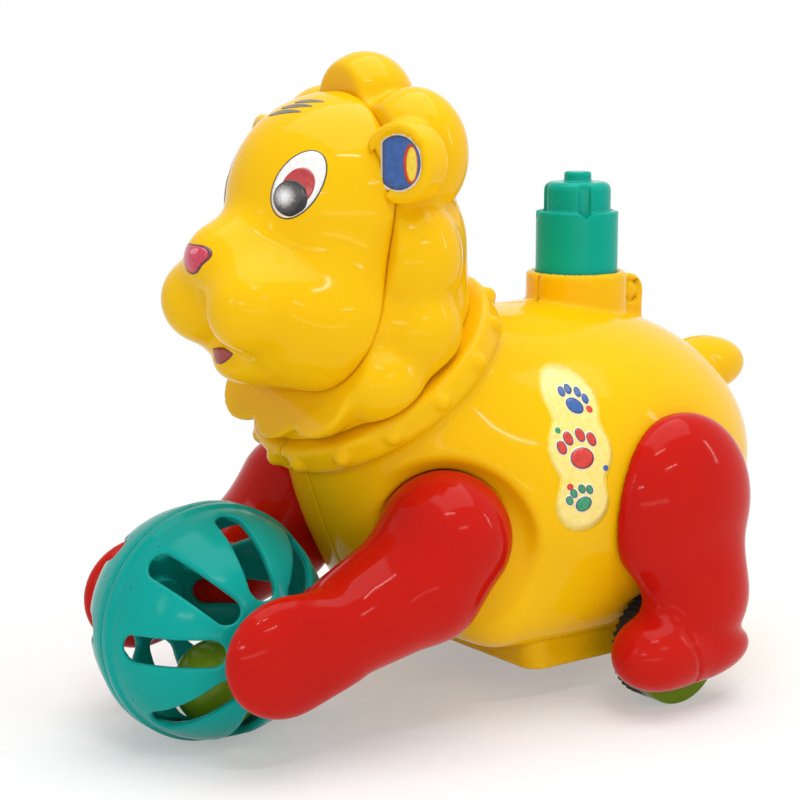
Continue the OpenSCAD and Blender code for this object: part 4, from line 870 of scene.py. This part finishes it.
scene = bpy.context.scene
floor_mesh = bpy.data.meshes.new("floor")
floor_mesh.from_pydata([(-4, -4, 0), (4, -4, 0), (4, 4, 0), (-4, 4, 0)], [], [(0, 1, 2, 3)])
floor = bpy.data.objects.new("floor", floor_mesh)
scene.collection.objects.link(floor)
PAPER, tree, shader = fresh("paper")
PAPER_TONES = [(0.3, (0.90, 0.90, 0.90)), (0.7, (0.93, 0.93, 0.93))]
tree.links.new(ramp(tree, noise(tree, 300, 4), PAPER_TONES), shader.inputs["Base Color"])
shader.inputs["Roughness"].default_value = 0.9
shader.inputs["Specular IOR Level"].default_value = 0.1
glow = tree.nodes.new("ShaderNodeEmission")
fade = tree.nodes.new("ShaderNodeMixShader")
coord = tree.nodes.new("ShaderNodeTexCoord")
far = tree.nodes.new("ShaderNodeVectorMath")
far.operation = "LENGTH"
tree.links.new(coord.outputs["Object"], far.inputs[0])
band = tree.nodes.new("ShaderNodeMapRange")
band.interpolation_type = "SMOOTHSTEP"
band.inputs["From Min"].default_value, band.inputs["From Max"].default_value = 0.10, 0.32
band.inputs["To Min"].default_value = 0.35
tree.links.new(far.outputs["Value"], band.inputs["Value"])
share = tree.nodes.new("ShaderNodeMath")
share.operation = "MULTIPLY"
tree.links.new(band.outputs["Result"], share.inputs[0])
tree.links.new(seen_plainly(tree), share.inputs[1])
tree.links.new(share.outputs["Value"], fade.inputs["Fac"])
tree.links.new(shader.outputs["BSDF"], fade.inputs[1])
tree.links.new(glow.outputs["Emission"], fade.inputs[2])
tree.links.new(fade.outputs["Shader"], tree.nodes["Material Output"].inputs["Surface"])
floor_mesh.materials.append(PAPER)

world = bpy.data.worlds.new("studio")
world.use_nodes = True
scene.world = world
tree = world.node_tree
tree.nodes.clear()
soft, white = tree.nodes.new("ShaderNodeBackground"), tree.nodes.new("ShaderNodeBackground")
soft.inputs["Color"].default_value, soft.inputs["Strength"].default_value = (1.0, 0.99, 0.97, 1), 0.37
white.inputs["Color"].default_value, white.inputs["Strength"].default_value = (1, 1, 1, 1), 1.0
mix, out = tree.nodes.new("ShaderNodeMixShader"), tree.nodes.new("ShaderNodeOutputWorld")
tree.links.new(seen_plainly(tree), mix.inputs["Fac"])
tree.links.new(soft.outputs["Background"], mix.inputs[1])
tree.links.new(white.outputs["Background"], mix.inputs[2])
tree.links.new(mix.outputs["Shader"], out.inputs["Surface"])


LAMPS_MEET = (0, 0, 0.07)


def aimed(at, towards, roll):
    back = unit(np.asarray(at, float) - np.asarray(towards, float))
    right = unit(np.cross(roll, back))
    up = np.cross(back, right)
    return Matrix([[right[i], up[i], back[i], at[i]] for i in range(3)] + [[0, 0, 0, 1]])


def softbox(name, at, size, power, roll=(0, 0, 1)):
    lamp = bpy.data.lights.new(name, "AREA")
    lamp.shape, lamp.size, lamp.size_y, lamp.energy = "RECTANGLE", size[0], size[1], power
    o = bpy.data.objects.new(name, lamp)
    scene.collection.objects.link(o)
    o.matrix_world = aimed(at, LAMPS_MEET, roll)


softbox("key", (0.35, 0.75, 1.15), (0.4, 0.02), 2.2)
softbox("top", (-0.1, 0.05, 1.2), (1.2, 1.2), 12.6, (0, 1, 0))
softbox("side", (-0.95, 0.75, 0.55), (0.03, 0.45), 1.1)
softbox("front", (1.0, 0.15, 0.5), (0.03, 0.3), 0.65)
softbox("low", (0.5, 1.0, 0.06), (0.9, 0.06), 0.75)
softbox("glint", (0.95, 0.65, 0.42), (0.3, 0.012), 0.9)
softbox("gleam", (0.05, 1.1, 0.62), (0.3, 0.012), 0.9)

camera = bpy.data.cameras.new("camera")
camera.lens, camera.sensor_width, camera.sensor_fit = 90.0, 36.0, "HORIZONTAL"
camera.clip_start, camera.clip_end = 0.01, 20.0
eye_point = bpy.data.objects.new("camera", camera)
scene.collection.objects.link(eye_point)
RIGHT, UP, BACK = (-0.809017, 0.587785, 0.0), (-0.102068, -0.140484, 0.984808), (0.578855, 0.796726, 0.173648)
SPOT = (0.3007, 0.3908, 0.1598)
eye_point.matrix_world = Matrix([[RIGHT[i], UP[i], BACK[i], SPOT[i]] for i in range(3)] + [[0, 0, 0, 1]])
scene.camera = eye_point
scene.view_settings.view_transform = "Standard"
